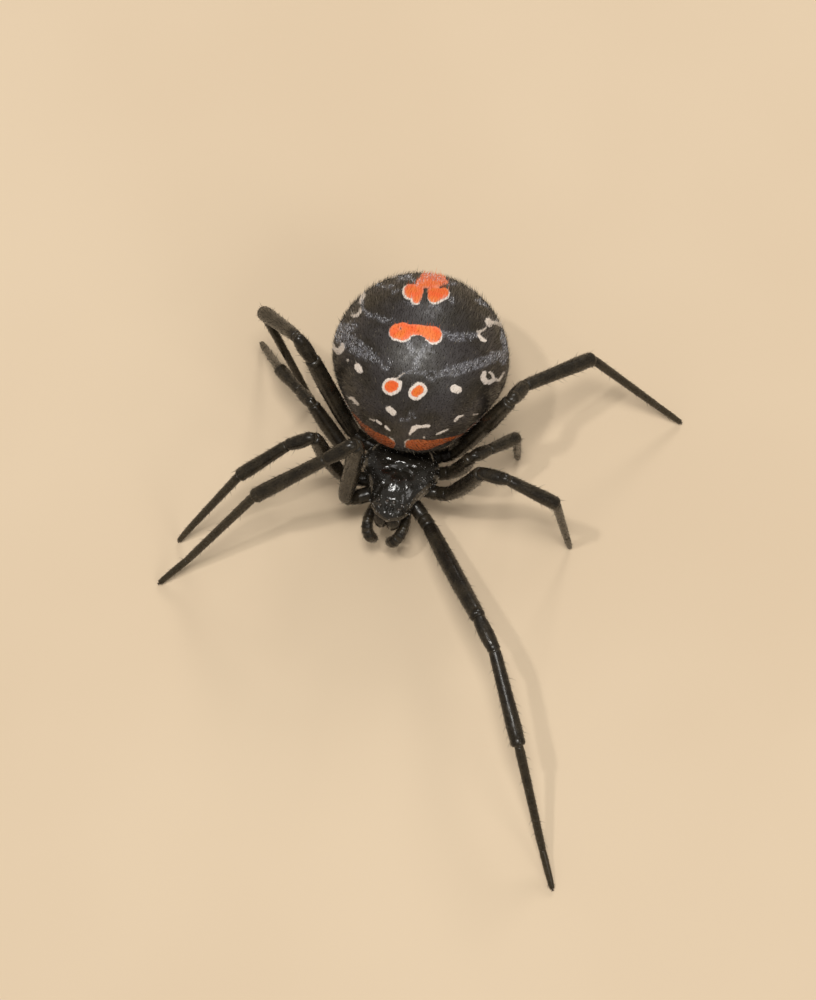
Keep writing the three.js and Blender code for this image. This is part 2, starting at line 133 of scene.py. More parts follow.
def column(rows: bpy.types.bpy_prop_collection, key: str, width: int, kind: type) -> Array:
    """One property of every point, edge or triangle of a mesh.

    Args:
        rows: the mesh's points, edges or triangles.
        key: the property's name.
        width: how many numbers it has.
        kind: the numbers' type.

    Returns:
        Rows of numbers.
    """
    loose = np.zeros(len(rows) * width, kind)
    rows.foreach_get(key, loose)
    return loose.reshape(-1, width)


def linked(name: str, data: bpy.types.ID) -> Piece:
    """A new object in the scene.

    Args:
        name: the object's name.
        data: what it shows.

    Returns:
        The object.
    """
    piece = bpy.data.objects.new(name, data)
    bpy.context.scene.collection.objects.link(piece)
    return piece


class Solids:
    """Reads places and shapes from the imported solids, in millimetres."""

    @staticmethod
    def middle(node: str) -> tuple[Array, Array]:
        """A node's middle and half its size."""
        low, high = (np.array(corner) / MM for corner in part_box(node))
        return 0.5 * (low + high), 0.5 * (high - low)

    @staticmethod
    def mesh(node: str) -> tuple[Array, Array]:
        """The node's merged points and its triangles.

        Args:
            node: name of the node.

        Returns:
            Points in millimetres and rows of three point numbers.
        """
        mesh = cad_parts[node].data
        mesh.calc_loop_triangles()
        rounded = np.round(column(mesh.vertices, "co", 3, np.float32).astype(float) / MM, 4)
        points, number = np.unique(rounded, axis=0, return_inverse=True)
        triangles = number.reshape(-1)[column(mesh.loop_triangles, "vertices", 3, np.int32)]
        whole = (triangles[:, 0] != triangles[:, 1]) & (triangles[:, 1] != triangles[:, 2])
        whole &= triangles[:, 0] != triangles[:, 2]
        return points, triangles[whole]

    @staticmethod
    def facing(node: str, other: str) -> Array:
        """Middle of the end with which a node faces another one.

        Args:
            node: the node whose end is looked for.
            other: its neighbour along the limb.

        Returns:
            The mean of the node's points that lie within reach of the neighbour.
        """
        points, _ = Solids.mesh(node)
        others, _ = Solids.mesh(other)
        gaps = np.linalg.norm(points[:, None] - others[None], axis=2).min(axis=1)
        return points[gaps < max(JOINT_REACH, gaps.min() + JOINT_SLACK)].mean(axis=0)

    @staticmethod
    def section(points: Array, triangles: Array, origin: Array,
                axis: Array) -> tuple[Array, float]:
        """Middle and mean radius of a solid's cut across an axis.

        Args:
            points: the solid's points.
            triangles: its triangles.
            origin: a point on the cutting plane.
            axis: the plane's normal.

        Returns:
            The middle of the cut's outline, and the radius of a circle as long as the outline.
        """
        height = (points - origin) @ axis
        pairs = []
        for first, second in ((0, 1), (1, 2), (2, 0)):
            a, b = triangles[:, first], triangles[:, second]
            crossing = (height[a] > 0) != (height[b] > 0)
            share = np.where(crossing, height[a] / np.where(crossing, height[a] - height[b], 1), 0)
            pairs.append((crossing, points[a] + share[:, None] * (points[b] - points[a])))
        mask = np.stack([crossing for crossing, _ in pairs], axis=1)
        cuts = np.stack([cut for _, cut in pairs], axis=1)[mask].reshape(-1, 2, 3)
        lengths = np.linalg.norm(cuts[:, 0] - cuts[:, 1], axis=1)
        middle = (cuts.mean(axis=1) * lengths[:, None]).sum(axis=0) / lengths.sum()
        return middle, lengths.sum() / (2 * math.pi)


class Prosoma:
    """The frame of head and thorax, which are turned a little: x to the left, y to the rear, z up."""

    EYE_ROW = -3.18

    def __init__(self) -> None:
        """Finds the frame from the outermost eyes, which stand level beside each other."""
        left, right = (Solids.middle(f"eye_{side}_rear_side")[0] for side, _ in SIDES)
        across = unit((left - right) * np.array([1, 1, 0]))
        self.axes = np.array([across, [-across[1], across[0], 0], [0, 0, 1]])
        self.origin = 0.5 * (left + right) - self.EYE_ROW * self.axes[1]
        self.origin[2] = COXA_HEIGHT

    def local(self, points: Array) -> Array:
        """Points of the model in the frame of head and thorax."""
        return (points - self.origin) @ self.axes.T

    def world(self, points: Array | tuple) -> Array:
        """Points of head and thorax in the frame of the model."""
        return np.array(points) @ self.axes + self.origin


@dataclass
class Chart:
    """A rectangle of the skin's chart, on which one surface is unrolled."""

    low: Pair = (0.01, 0.01)
    high: Pair = (0.99, 0.99)

    def place(self, along: Array, around: Array) -> Array:
        """Chart coordinates of points on the surface.

        Args:
            along: their parts of the way along it, from 0 to 1.
            around: their parts of the way around it.

        Returns:
            The coordinates, in a last axis of two.
        """
        u = self.low[0] + (self.high[0] - self.low[0]) * along
        v = self.low[1] + (self.high[1] - self.low[1]) * around
        return np.stack([u, v], axis=-1)

    def strip(self, number: int, count: int) -> "Chart":
        """One of several equal strips of this rectangle, with a little room between them.

        Args:
            number: which strip, from 0.
            count: how many there are.

        Returns:
            The strip's own rectangle.
        """
        height = (self.high[1] - self.low[1]) / count
        low = self.low[1] + number * height
        return Chart((self.low[0], low + 0.05 * height), (self.high[0], low + 0.95 * height))


@dataclass
class Skin:
    """A closed surface being built: its points, faces, chart and the values that its finish reads."""

    points: Array
    faces: list[tuple[int, ...]]
    charts: Array
    values: dict[str, Array] = field(default_factory=dict)

    def rows(self, size: int) -> Array:
        """Point numbers of the faces with so many corners."""
        return np.array([face for face in self.faces if len(face) == size], int).reshape(-1, size)

    def volume(self) -> float:
        """Signed volume in cubic millimetres.

        Returns:
            The volume, positive where the faces point outwards.
        """
        total = 0.0
        for size in (3, 4):
            rows = self.rows(size)
            for other in range(1, size - 1):
                a, b, c = (self.points[rows[:, k]] for k in (0, other, other + 1))
                total += float(np.einsum("ij,ij->i", a, np.cross(b, c)).sum())
        return total / 6

    def outward(self) -> "Skin":
        """The same surface with its faces pointing outwards.

        Returns:
            This surface, or a copy of it turned inside out.
        """
        if self.volume() > 0:
            return self
        charts, corner = [], 0
        for face in self.faces:
            charts.append(self.charts[corner:corner + len(face)][::-1])
            corner += len(face)
        return Skin(self.points, [face[::-1] for face in self.faces], np.concatenate(charts), self.values)

    def normals(self) -> Array:
        """Outward normal at each point, weighted by the area of the faces round it.

        Returns:
            Rows of unit vectors.
        """
        total = np.zeros_like(self.points)
        for size in (3, 4):
            rows = self.rows(size)
            if not len(rows):
                continue
            across = self.points[rows[:, 2]] - self.points[rows[:, 0]]
            other = self.points[rows[:, size - 1]] - self.points[rows[:, 1]]
            cross = np.cross(across, other) if size == 4 else np.cross(
                self.points[rows[:, 1]] - self.points[rows[:, 0]], across)
            for corner in range(size):
                np.add.at(total, rows[:, corner], cross)
        return total / np.maximum(np.linalg.norm(total, axis=1, keepdims=True), 1e-12)

    @staticmethod
    def joined(skins: list["Skin"]) -> "Skin":
        """Several surfaces as one.

        Args:
            skins: the surfaces, which all carry the same values.

        Returns:
            The one surface.
        """
        faces, start = [], 0
        for skin in skins:
            faces += [tuple(n + start for n in face) for face in skin.faces]
            start += len(skin.points)
        values = {key: np.concatenate([skin.values[key] for skin in skins]) for key in skins[0].values}
        return Skin(np.concatenate([skin.points for skin in skins]), faces,
                    np.concatenate([skin.charts for skin in skins]), values)

    def to_piece(self, name: str, material: Material, slot: str,
                 *replaced: str) -> Piece:
        """Writes the surface as a piece of the spider, in metres, with its object at the origin.

        Args:
            name: the piece's name.
            material: its finish.
            slot: not used.
            replaced: the CAD nodes that it stands for.

        Returns:
            The new piece.
        """
        mesh = bpy.data.meshes.new(name)
        mesh.from_pydata((self.points * MM).tolist(), [], self.faces)
        chart = mesh.uv_layers.new(name=SKIN_CHART)
        chart.data.foreach_set("uv", self.charts.astype(np.float32).ravel())
        for key, value in self.values.items():
            kind, field_name = ("FLOAT", "value") if value.ndim == 1 else ("FLOAT_VECTOR", "vector")
            carried = mesh.attributes.new(key, kind, "POINT")
            carried.data.foreach_set(field_name, value.astype(np.float32).ravel())
        mesh.polygons.foreach_set("use_smooth", [True] * len(mesh.polygons))
        mesh.materials.append(material)
        mesh.update()
        piece = linked(name, mesh)
        if replaced:
            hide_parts(*replaced)
        return piece


def loft(rings: Array, first: Array, last: Array, chart: Chart) -> Skin:
    """A closed surface through rings of points, each end closed by a fan to a pole.

    Args:
        rings: points by ring and side.
        first: the pole before the first ring.
        last: the pole after the last ring.
        chart: the rectangle on which it is unrolled.

    Returns:
        The surface, its faces pointing outwards.
    """
    count, sides, _ = rings.shape
    points = np.concatenate([rings.reshape(-1, 3), [first, last]])
    ring, side = np.meshgrid(np.arange(count - 1), np.arange(sides), indexing="ij")
    following = (side + 1) % sides
    quads = np.stack([ring * sides + side, ring * sides + following,
                      (ring + 1) * sides + following, (ring + 1) * sides + side], axis=-1).reshape(-1, 4)
    along = (np.arange(count) + 1) / (count + 1)
    u0, u1, v0, v1 = along[ring], along[ring + 1], side / sides, (side + 1) / sides
    quad_charts = chart.place(np.stack([u0, u0, u1, u1], axis=-1), np.stack([v0, v1, v1, v0], axis=-1))
    around = np.arange(sides)
    after = (around + 1) % sides
    pole, end = count * sides, (count - 1) * sides
    caps = np.concatenate([
        np.stack([np.full(sides, pole), after, around], axis=-1),
        np.stack([np.full(sides, pole + 1), end + around, end + after], axis=-1)])
    w0, w1 = around / sides, (around + 1) / sides
    middle = 0.5 * (w0 + w1)
    cap_charts = np.concatenate([
        chart.place(np.stack([0 * w0, 0 * w0 + along[0], 0 * w0 + along[0]], axis=-1),
                    np.stack([middle, w1, w0], axis=-1)),
        chart.place(np.stack([0 * w0 + 1, 0 * w0 + along[-1], 0 * w0 + along[-1]], axis=-1),
                    np.stack([middle, w0, w1], axis=-1))])
    faces = list(map(tuple, quads.tolist())) + list(map(tuple, caps.tolist()))
    charts = np.concatenate([quad_charts.reshape(-1, 2), cap_charts.reshape(-1, 2)])
    return Skin(points, faces, charts).outward()


def sweep_frames(centres: Array) -> tuple[Array, Array, Array]:
    """Directions along, across and above a line that turn as little as they can.

    Args:
        centres: points along the line.

    Returns:
        For each point, the direction of the line, the one across it and the one above it.
    """
    along = unit(np.gradient(centres, axis=0))
    guide = np.array([0.0, 0.0, 1.0]) if abs(along[0][2]) < 0.9 else np.array([0.0, 1.0, 0.0])
    across = [unit(np.cross(guide, along[0]))]
    for direction in along[1:]:
        kept = across[-1] - direction * (across[-1] @ direction)
        across.append(unit(kept))
    across = np.array(across)
    return along, across, np.cross(along, across)


def smooth_line(points: Array, spacing: float) -> Array:
    """A smooth curve through a few points, sampled evenly.

    Args:
        points: the points that the curve passes through.
        spacing: distance between its samples.

    Returns:
        The samples, from the first point to the last.
    """
    ends = np.concatenate([[2 * points[0] - points[1]], points, [2 * points[-1] - points[-2]]])
    fine = []
    for a, b, c, d in zip(ends, ends[1:], ends[2:], ends[3:]):
        t = np.linspace(0, 1, 24, endpoint=False)[:, None]
        fine.append(0.5 * (2 * b + (c - a) * t + (2 * a - 5 * b + 4 * c - d) * t ** 2
                           + (3 * b - a - 3 * c + d) * t ** 3))
    line = np.concatenate([*fine, points[-1:]])
    length = travelled(line)[-1]
    return along_line(line, np.linspace(0, length, max(6, round(length / spacing))))


class Girth(Enum):
    """How a tube's two ends are shaped."""

    ROUND = "round"
    LIPPED = "lipped"


@dataclass
class Tube:
    """A tube of hard cuticle round a line, rounded at both ends: one joint of a limb.

    Attributes:
        line: points along its middle.
        radii: its radius at parts of its length.
        chart: the rectangle that it is unrolled on.
        sides: how many points go round it.
        girth: how its ends are shaped.
        coat: how thickly bristles grow on it.
        coat_length: how long they are.
        membrane: how much of it is soft membrane.
        spacing: distance between its rings.
        rounding: how long its rounded ends are, for a radius of one.
        square: how full the rounding is, where 2 is a ball's.
        lip: rise, distance in and width of the lip near the outer end, then sink, distance in
            and width of the neck behind it. The distances in are for an end radius of one.
    """

    line: Array
    radii: Radii
    chart: Chart
    sides: int = 24
    girth: Girth = Girth.LIPPED
    coat: float = 1.0
    coat_length: float = 1.0
    membrane: float = 0.0
    spacing: float = 0.06
    rounding: float = 0.5
    square: float = 2.6
    lip: tuple[float, ...] = (0.035, 1.3, 0.05, 0.045, 2.4, 0.045)

    def skin(self) -> Skin:
        """Builds the tube and the values that its coat and its finish read.

        Returns:
            The closed surface.
        """
        centres = smooth_line(self.line, self.spacing)
        gone = travelled(centres)
        length = gone[-1]
        share = gone / length
        parts, halves = np.array(self.radii).T
        radius = np.interp(share, parts, halves)
        first, last = radius[0] * self.rounding, radius[-1] * self.rounding
        if self.girth is Girth.LIPPED:
            rise, lip_in, lip_width, sink, neck_in, neck_width = self.lip
            radius = radius * (1 + rise * bell(gone - (length - lip_in * last), lip_width)
                               - sink * bell(gone - (length - neck_in * last), neck_width))
        radius = (radius * self._cap(gone / first) * self._cap((length - gone) / last))[1:-1]
        along, across, above = (rows[1:-1] for rows in sweep_frames(centres))
        angle = 2 * math.pi * np.arange(self.sides) / self.sides
        rings = (centres[1:-1, None] + radius[:, None, None]
                 * (np.cos(angle)[None, :, None] * across[:, None]
                    + np.sin(angle)[None, :, None] * above[:, None]))
        skin = loft(rings, centres[0], centres[-1], self.chart)
        inner = share[1:-1]
        haired = step(inner, 0.0, 0.06) * (1 - step(inner, 0.95, 1.0)) * self.coat
        skin.values = {
            "lie": np.concatenate([np.repeat(along, self.sides, axis=0), [along[0], along[-1]]]),
            "coat": np.concatenate([np.repeat(haired, self.sides), [0, 0]]),
            "coat_length": np.full(len(skin.points), self.coat_length),
            "membrane": np.full(len(skin.points), self.membrane),
            "outward": np.concatenate([np.repeat(inner, self.sides), [0, 1]]),
        }
        return skin

    def _cap(self, part: Array) -> Array:
        """How the radius grows over the rounded end, from nearly nothing to the whole."""
        rest = (1 - part).clip(0, 1)
        return np.clip(1 - rest ** self.square, 0.01, 1) ** (1 / self.square)


def joint_ball(centre: Array, radius: float, chart: Chart) -> Skin:
    """A ball of soft membrane, as it shows between two joints of a limb.

    Args:
        centre: the ball's middle.
        radius: its radius.
        chart: the rectangle that it is unrolled on.

    Returns:
        The closed surface.
    """
    reach = np.array([[0.0, 0.0, radius]])
    line = np.concatenate([centre - reach, centre - 0.4 * reach, centre + 0.4 * reach, centre + reach])
    return Tube(line, [(0, radius), (1, radius)], chart, sides=18, girth=Girth.ROUND, coat=0.0,
                membrane=1.0, spacing=radius / 7, rounding=1.0, square=2.0).skin()


class NodeTree:
    """Adds nodes and their links to one tree."""

    tree: bpy.types.NodeTree

    def feed(self, socket: Socket, value: Fed) -> None:
        """Gives an input its value, or a link from the output that makes it.

        Args:
            socket: the input.
            value: a number, a colour, a name or another node's output.
        """
        if isinstance(value, Socket):
            self.tree.links.new(value, socket)
        else:
            socket.default_value = value

    def add(self, kind: str, inputs: dict[str | int, Fed], **settings: str) -> bpy.types.Node:
        """Adds a node.

        Args:
            kind: the node's type.
            inputs: what its inputs take, by their name or number.
            settings: the node's own properties.

        Returns:
            The new node.
        """
        node = self.tree.nodes.new(kind)
        for key, value in settings.items():
            setattr(node, key, value)
        for key, value in inputs.items():
            self.feed(node.inputs[key], value)
        return node

    def maths(self, operation: str, first: Fed, second: Fed = 0.0, third: Fed = 0.0) -> Socket:
        """One step of arithmetic on up to three values."""
        inputs = {0: first, 1: second, 2: third}
        return self.add("ShaderNodeMath", inputs, operation=operation).outputs[0]


class Nodes(NodeTree):
    """The shader nodes of one material."""

    def __init__(self, name: str) -> None:
        """Starts a material with an empty node tree.

        Args:
            name: the material's name.
        """
        self.material = bpy.data.materials.new(name)
        self.material.use_nodes = True
        self.tree = self.material.node_tree
        self.tree.nodes.clear()

    def value(self, name: str) -> Socket:
        """A value that the skin carries at each point."""
        return self.add("ShaderNodeAttribute", {}, attribute_name=name).outputs["Fac"]

    def noise(self, size: float, detail: float = 3.0, rough: float = 0.5) -> Socket:
        """Noise that keeps still on the piece.

        Args:
            size: size of its features in millimetres.
            detail: how many finer layers it has.
            rough: how strong they are.

        Returns:
            Its value, from 0 to 1.
        """
        place = self.add("ShaderNodeTexCoord", {}).outputs["Object"]
        return self.add("ShaderNodeTexNoise", {"Vector": place, "Scale": 1 / (size * MM),
                                               "Detail": detail, "Roughness": rough}).outputs[0]

    def ramp(self, value: Fed, low: float, high: float, start: float = 0.0, end: float = 1.0) -> Socket:
        """Smooth change from one value to another between two limits.

        Args:
            value: the value that is compared with the limits.
            low: the lower limit.
            high: the upper limit.
            start: the result up to the lower limit.
            end: the result from the upper limit on.

        Returns:
            The result.
        """
        return self.add("ShaderNodeMapRange", {"Value": value, "From Min": low, "From Max": high,
                                               "To Min": start, "To Max": end},
                        interpolation_type="SMOOTHSTEP").outputs[0]

    def mix(self, share: Fed, first: Fed, second: Fed) -> Socket:
        """One colour over another, by a share from 0 to 1."""
        colours = {"Factor": share, 6: first, 7: second}
        return self.add("ShaderNodeMix", colours, data_type="RGBA").outputs[2]

    def bump(self, height: Fed, depth: float, strength: float, under: Socket | None = None) -> Socket:
        """Relief on the surface.

        Args:
            height: its height, from 0 to 1.
            depth: its depth in millimetres.
            strength: how much of it shows.
            under: another relief that it lies on.

        Returns:
            The surface's normal.
        """
        relief = {} if under is None else {"Normal": under}
        relief |= {"Height": height, "Distance": depth * MM, "Strength": strength}
        return self.add("ShaderNodeBump", relief).outputs[0]

    def finish(self, inputs: dict[str, Fed]) -> Material:
        """Ends the material in one principled shader.

        Args:
            inputs: what the shader's inputs take.

        Returns:
            The material.
        """
        shader = self.add("ShaderNodeBsdfPrincipled", inputs)
        self.add("ShaderNodeOutputMaterial", {"Surface": shader.outputs[0]})
        return self.material


def rgba(colour: Triple) -> tuple[float, float, float, float]:
    """A colour with full cover."""
    return (*colour, 1.0)


@dataclass(frozen=True)
class Cuticle:
    """Glossy black-brown shell, finely pitted, paler where the shell is thin or newly grown; on the
    carapace the end colour paints a reflection along the side rim.
    """

    name: str
    deep: Triple = (0.0150, 0.0115, 0.0076)
    thin: Triple = (0.031, 0.0240, 0.0150)
    soft: Triple = (0.036, 0.028, 0.018)
    # Paler end colour: browner towards a leg's end; on the carapace, a painted reflection along the side
    # rim.
    end: Triple = (0.046, 0.034, 0.018)
    roughness: float = 0.25
    specular: float = 0.35
    lacquer: float = 0.0
    mottle_size: float = 0.55
    ripple_size: float = 0.32
    pit_size: float = 0.045
    pit_depth: float = 0.006
    ripple_depth: float = 0.02

    def material(self) -> Material:
        """Builds the finish from its sizes and colours.

        Returns:
            The material.
        """
        n = Nodes(self.name)
        mottle = n.ramp(n.noise(self.mottle_size, 4), 0.38, 0.66)
        colour = n.mix(mottle, rgba(self.deep), rgba(self.thin))
        # Paler towards a limb's end; on the carapace, a painted reflection along the side rim.
        colour = n.mix(n.ramp(n.value("outward"), 0.55, 1.0, 0, 0.7), colour, rgba(self.end))
        colour = n.mix(n.value("membrane"), colour, rgba(self.soft))
        relief = n.bump(n.noise(self.ripple_size, 3), self.ripple_depth, 0.55)
        relief = n.bump(n.noise(self.pit_size, 2), self.pit_depth, 0.7, relief)
        gloss = n.ramp(n.noise(0.2, 3), 0.35, 0.7, self.roughness - 0.05, self.roughness + 0.10)
        return n.finish({"Base Color": colour, "Roughness": gloss, "Normal": relief,
                         "Specular IOR Level": self.specular, "Coat Weight": self.lacquer,
                         "Coat Roughness": 0.08})


@dataclass(frozen=True)
class MarkedCuticle:
    """The abdomen's skin: satin black with orange marks, cream edges and pale downy streaks; the front
    bands' orange is darkened as painted shade, and the streaks are partly painted sheen.
    """

    name: str = "abdomen skin"
    black: Triple = (0.0195, 0.0142, 0.0084)
    violet: Triple = (0.036, 0.030, 0.030)
    orange: Triple = (0.86, 0.115, 0.010)
    amber: Triple = (0.82, 0.175, 0.010)
    blush: Triple = (0.86, 0.24, 0.13)
    # Darker orange of the front bands: painted shade.
    deep_orange: Triple = (0.42, 0.092, 0.014)
    cream: Triple = (0.82, 0.73, 0.66)
    dull_cream: Triple = (0.44, 0.37, 0.31)
    # Pale bluish tint under the down streaks: partly the down's own colour, partly painted sheen.
    down: Triple = (0.34, 0.34, 0.38)
    edge: float = 0.05
    fray_depth: float = 0.03
    roughness: float = 0.42
    specular: float = 0.62

    def material(self) -> Material:
        """Builds the finish: a mark shows where the distance to it is below nothing.

        Returns:
            The material.
        """
        n = Nodes(self.name)
        fray = n.ramp(n.noise(0.11, 4, 0.62), 0.2, 0.8, -1.0, 1.0)
        speck = n.noise(0.032, 2, 0.5)
        colour = n.mix(n.ramp(n.noise(1.3, 3), 0.35, 0.68), rgba(self.black), rgba(self.violet))
        # Pale streaks: partly down, partly painted sheen.
        down = n.maths("MULTIPLY", n.value("down"), n.ramp(speck, 0.50, 0.64, 0.12, 1.0))
        down = n.maths("MULTIPLY", down, n.ramp(n.noise(0.2, 3), 0.34, 0.56))
        colour = n.mix(down, colour, rgba(self.down))
        cream = self._shown(n, "cream", fray)
        pale = n.mix(n.value("dull"), rgba(self.cream), rgba(self.dull_cream))
        pale = n.mix(n.ramp(speck, 0.30, 0.46, 0.45, 0.0), pale, rgba(self.dull_cream))
        colour = n.mix(cream, colour, pale)
        rich = n.mix(n.ramp(n.noise(0.45, 3), 0.38, 0.62), rgba(self.orange), rgba(self.amber))
        near_edge = n.ramp(n.value("orange"), -0.16, 0.0)
        rosy = n.maths("MAXIMUM", near_edge, n.ramp(speck, 0.46, 0.66, 0.0, 0.8))
        rosy = n.maths("MULTIPLY", n.value("blush"), rosy)
        rich = n.mix(rosy, rich, rgba(self.blush))
        # The front bands turn darker: painted shade.
        rich = n.mix(n.value("deep"), rich, rgba(self.deep_orange))
        colour = n.mix(self._shown(n, "orange", fray), colour, rich)
        relief = n.bump(n.noise(0.5, 3), 0.018, 0.5)
        relief = n.bump(n.noise(0.05, 2), 0.007, 0.8, relief)
        gloss = n.ramp(n.noise(0.25, 3), 0.3, 0.7, self.roughness - 0.08, self.roughness + 0.12)
        return n.finish({"Base Color": colour, "Roughness": gloss, "Normal": relief,
                         "Specular IOR Level": self.specular})

    def _shown(self, n: Nodes, name: str, fray: Socket) -> Socket:
        """Share of a mark's colour: one inside it, with an edge frayed by noise."""
        distance = n.maths("MULTIPLY_ADD", fray, self.fray_depth, n.value(name))
        return n.ramp(distance, -0.5 * self.edge, 0.5 * self.edge, 1.0, 0.0)


@dataclass(frozen=True)
class Bristle:
    """Thin hard hairs: dark, or tinted by the mark that they grow on; a random few painted pale, as
    painted glints.
    """

    name: str
    colour: Triple = (0.0150, 0.0112, 0.0066)
    # Pale colour of a random few hairs, a painted glint, and the random share from which they take it.
    tip: Triple = (0.30, 0.26, 0.19)
    painted_glint_from: float = 0.86
    roughness: float = 0.5
    gloss: float = 0.22
    marked: bool = False
    orange: Triple = (0.84, 0.165, 0.035)
    cream: Triple = (0.78, 0.70, 0.62)

    def material(self) -> Material:
        """Builds the finish from its sizes and colours.

        Returns:
            The material.
        """
        n = Nodes(self.name)
        # A random few hairs take the pale colour: painted glints.
        colour = n.mix(n.ramp(n.value("shade"), self.painted_glint_from, 1.0), rgba(self.colour), rgba(self.tip))
        if self.marked:
            colour = n.mix(n.ramp(n.value("cream"), -0.03, 0.0, 1.0, 0.0), colour, rgba(self.cream))
            # Bristles stay dark where the front bands carry painted shade.
            bright = n.ramp(n.value("deep"), 0.1, 0.3, 1.0, 0.0)
            bright = n.maths("MULTIPLY", bright, n.ramp(n.value("orange"), -0.03, 0.0, 1.0, 0.0))
            colour = n.mix(bright, colour, rgba(self.orange))
        return n.finish({"Base Color": colour, "Roughness": self.roughness,
                         "Specular IOR Level": self.gloss})


@dataclass(frozen=True)
class Glaze:
    """A smooth glossy surface, such as an eye, a fang or a claw."""

    name: str
    base: Triple
    other: Triple
    roughness: float
    grain: float = 0.1

    def material(self) -> Material:
        """Builds the finish from its sizes and colours.

        Returns:
            The material.
        """
        n = Nodes(self.name)
        colour = n.mix(n.ramp(n.noise(self.grain, 3), 0.35, 0.65), rgba(self.base), rgba(self.other))
        relief = n.bump(n.noise(self.grain, 2), 0.002, 0.3)
        return n.finish({"Base Color": colour, "Roughness": self.roughness, "Normal": relief,
                         "Specular IOR Level": 0.6, "Coat Weight": 0.6, "Coat Roughness": 0.05})


class Palette:
    """Every finish of the spider, made once."""

    def __init__(self) -> None:
        """Builds the materials."""
        # The carapace's pale end colour is a painted reflection along its side rim.
        self.carapace = Cuticle("carapace shell", deep=(0.0100, 0.0082, 0.0062),
                                thin=(0.017, 0.0144, 0.0110), end=(0.12, 0.10, 0.08), roughness=0.11,
                                specular=0.6, lacquer=0.1, pit_size=0.075, pit_depth=0.012,
                                ripple_depth=0.03).material()
        self.leg = Cuticle("leg shell").material()
        self.jaw = Cuticle("jaw shell", deep=(0.0125, 0.0100, 0.0075), thin=(0.022, 0.0175, 0.0125),
                           roughness=0.2, specular=0.34).material()
        self.abdomen = MarkedCuticle().material()
        # The pale colour of a random few bristles is a painted glint.
        self.bristle = Bristle("dark bristle", painted_glint_from=0.93, tip=(0.16, 0.14, 0.10), gloss=0.12,
                               colour=(0.0125, 0.0094, 0.0058)).material()
        self.marked_bristle = Bristle("abdomen bristle", marked=True, gloss=0.4).material()
        # White hairs that stand for the carapace's sparkle: painted glints.
        self.glint = Bristle("glinting hair", colour=(0.016, 0.013, 0.010), tip=(0.92, 0.90, 0.88),
                             painted_glint_from=0.62, roughness=0.3, gloss=0.5).material()
        # Pale down hairs: partly their own colour, partly painted sheen and glints.
        self.down = Bristle("pale down", colour=(0.25, 0.25, 0.29), tip=(0.95, 0.95, 0.99),
                            painted_glint_from=0.15, roughness=0.35, gloss=0.6).material()
        self.fang = Glaze("fang horn", (0.055, 0.012, 0.006), (0.024, 0.007, 0.004), 0.16).material()
        self.claw = Glaze("claw horn", (0.020, 0.012, 0.008), (0.045, 0.024, 0.014), 0.25).material()
        self.eye = Glaze("eye lens", (0.006, 0.005, 0.005), (0.014, 0.011, 0.010), 0.05).material()
        self.pale_eye = Glaze("pale eye lens", (0.035, 0.026, 0.020), (0.075, 0.060, 0.050),
                              0.06).material()


@dataclass
class PhotoView:
    """The camera of the reference picture: where it stands and what it frames."""

    azimuth: float = 10.5
    elevation: float = 75.0
    distance: float = 260.0
    pixels_per_mm: float = 22.5
    width: int = 816
    height: int = 1000
    head_pixel: Pair = (390.0, 505.0)
    head: Triple = (0.0, -3.25, 0.95)
    sensor: float = 24.0

    def __post_init__(self) -> None:
        """Works out the camera's directions and place."""
        turn, rise = math.radians(self.azimuth), math.radians(self.elevation)
        self.back = np.array([math.sin(turn) * math.cos(rise), -math.cos(turn) * math.cos(rise),
                              math.sin(rise)])
        self.right = np.array([math.cos(turn), math.sin(turn), 0.0])
        self.up = np.cross(self.back, self.right)
        beside = (0.5 * self.width - self.head_pixel[0]) / self.pixels_per_mm
        below = (0.5 * self.height - self.head_pixel[1]) / self.pixels_per_mm
        self.middle = Prosoma().world(self.head) + self.right * beside - self.up * below
        self.eye = self.middle + self.back * self.distance

    def pixel(self, points: Array) -> Array:
        """Where points of the spider fall in the picture.

        Args:
            points: rows of points in millimetres.

        Returns:
            Rows of pixel coordinates, from the picture's upper left corner.
        """
        offset = points - self.middle
        scale = self.pixels_per_mm * self.distance / (self.distance - offset @ self.back)
        return np.stack([0.5 * self.width + scale * (offset @ self.right),
                         0.5 * self.height - scale * (offset @ self.up)], axis=1)

    def camera(self) -> Piece:
        """Makes the camera with a long lens that gives this view.

        Returns:
            The camera.
        """
        data = bpy.data.cameras.new("camera")
        data.sensor_fit = "VERTICAL"
        data.sensor_height = self.sensor
        data.lens = data.sensor_height * self.pixels_per_mm * self.distance / self.height
        data.clip_start, data.clip_end = 0.01, 10.0
        camera = linked("camera", data)
        camera.location = Vector(self.eye * MM)
        camera.rotation_euler = Vector(self.back).to_track_quat("Z", "Y").to_euler()
        bpy.context.scene.camera = camera
        return camera


class Layer(Enum):
    """The colour that a mark shows in."""

    ORANGE = "orange"
    # Orange darkened as painted shade, on the front bands.
    DEEP_ORANGE = "deep orange"
    CREAM = "cream"
    # Pale down, partly painted sheen.
    DOWN = "down"
    BLACK = "black"


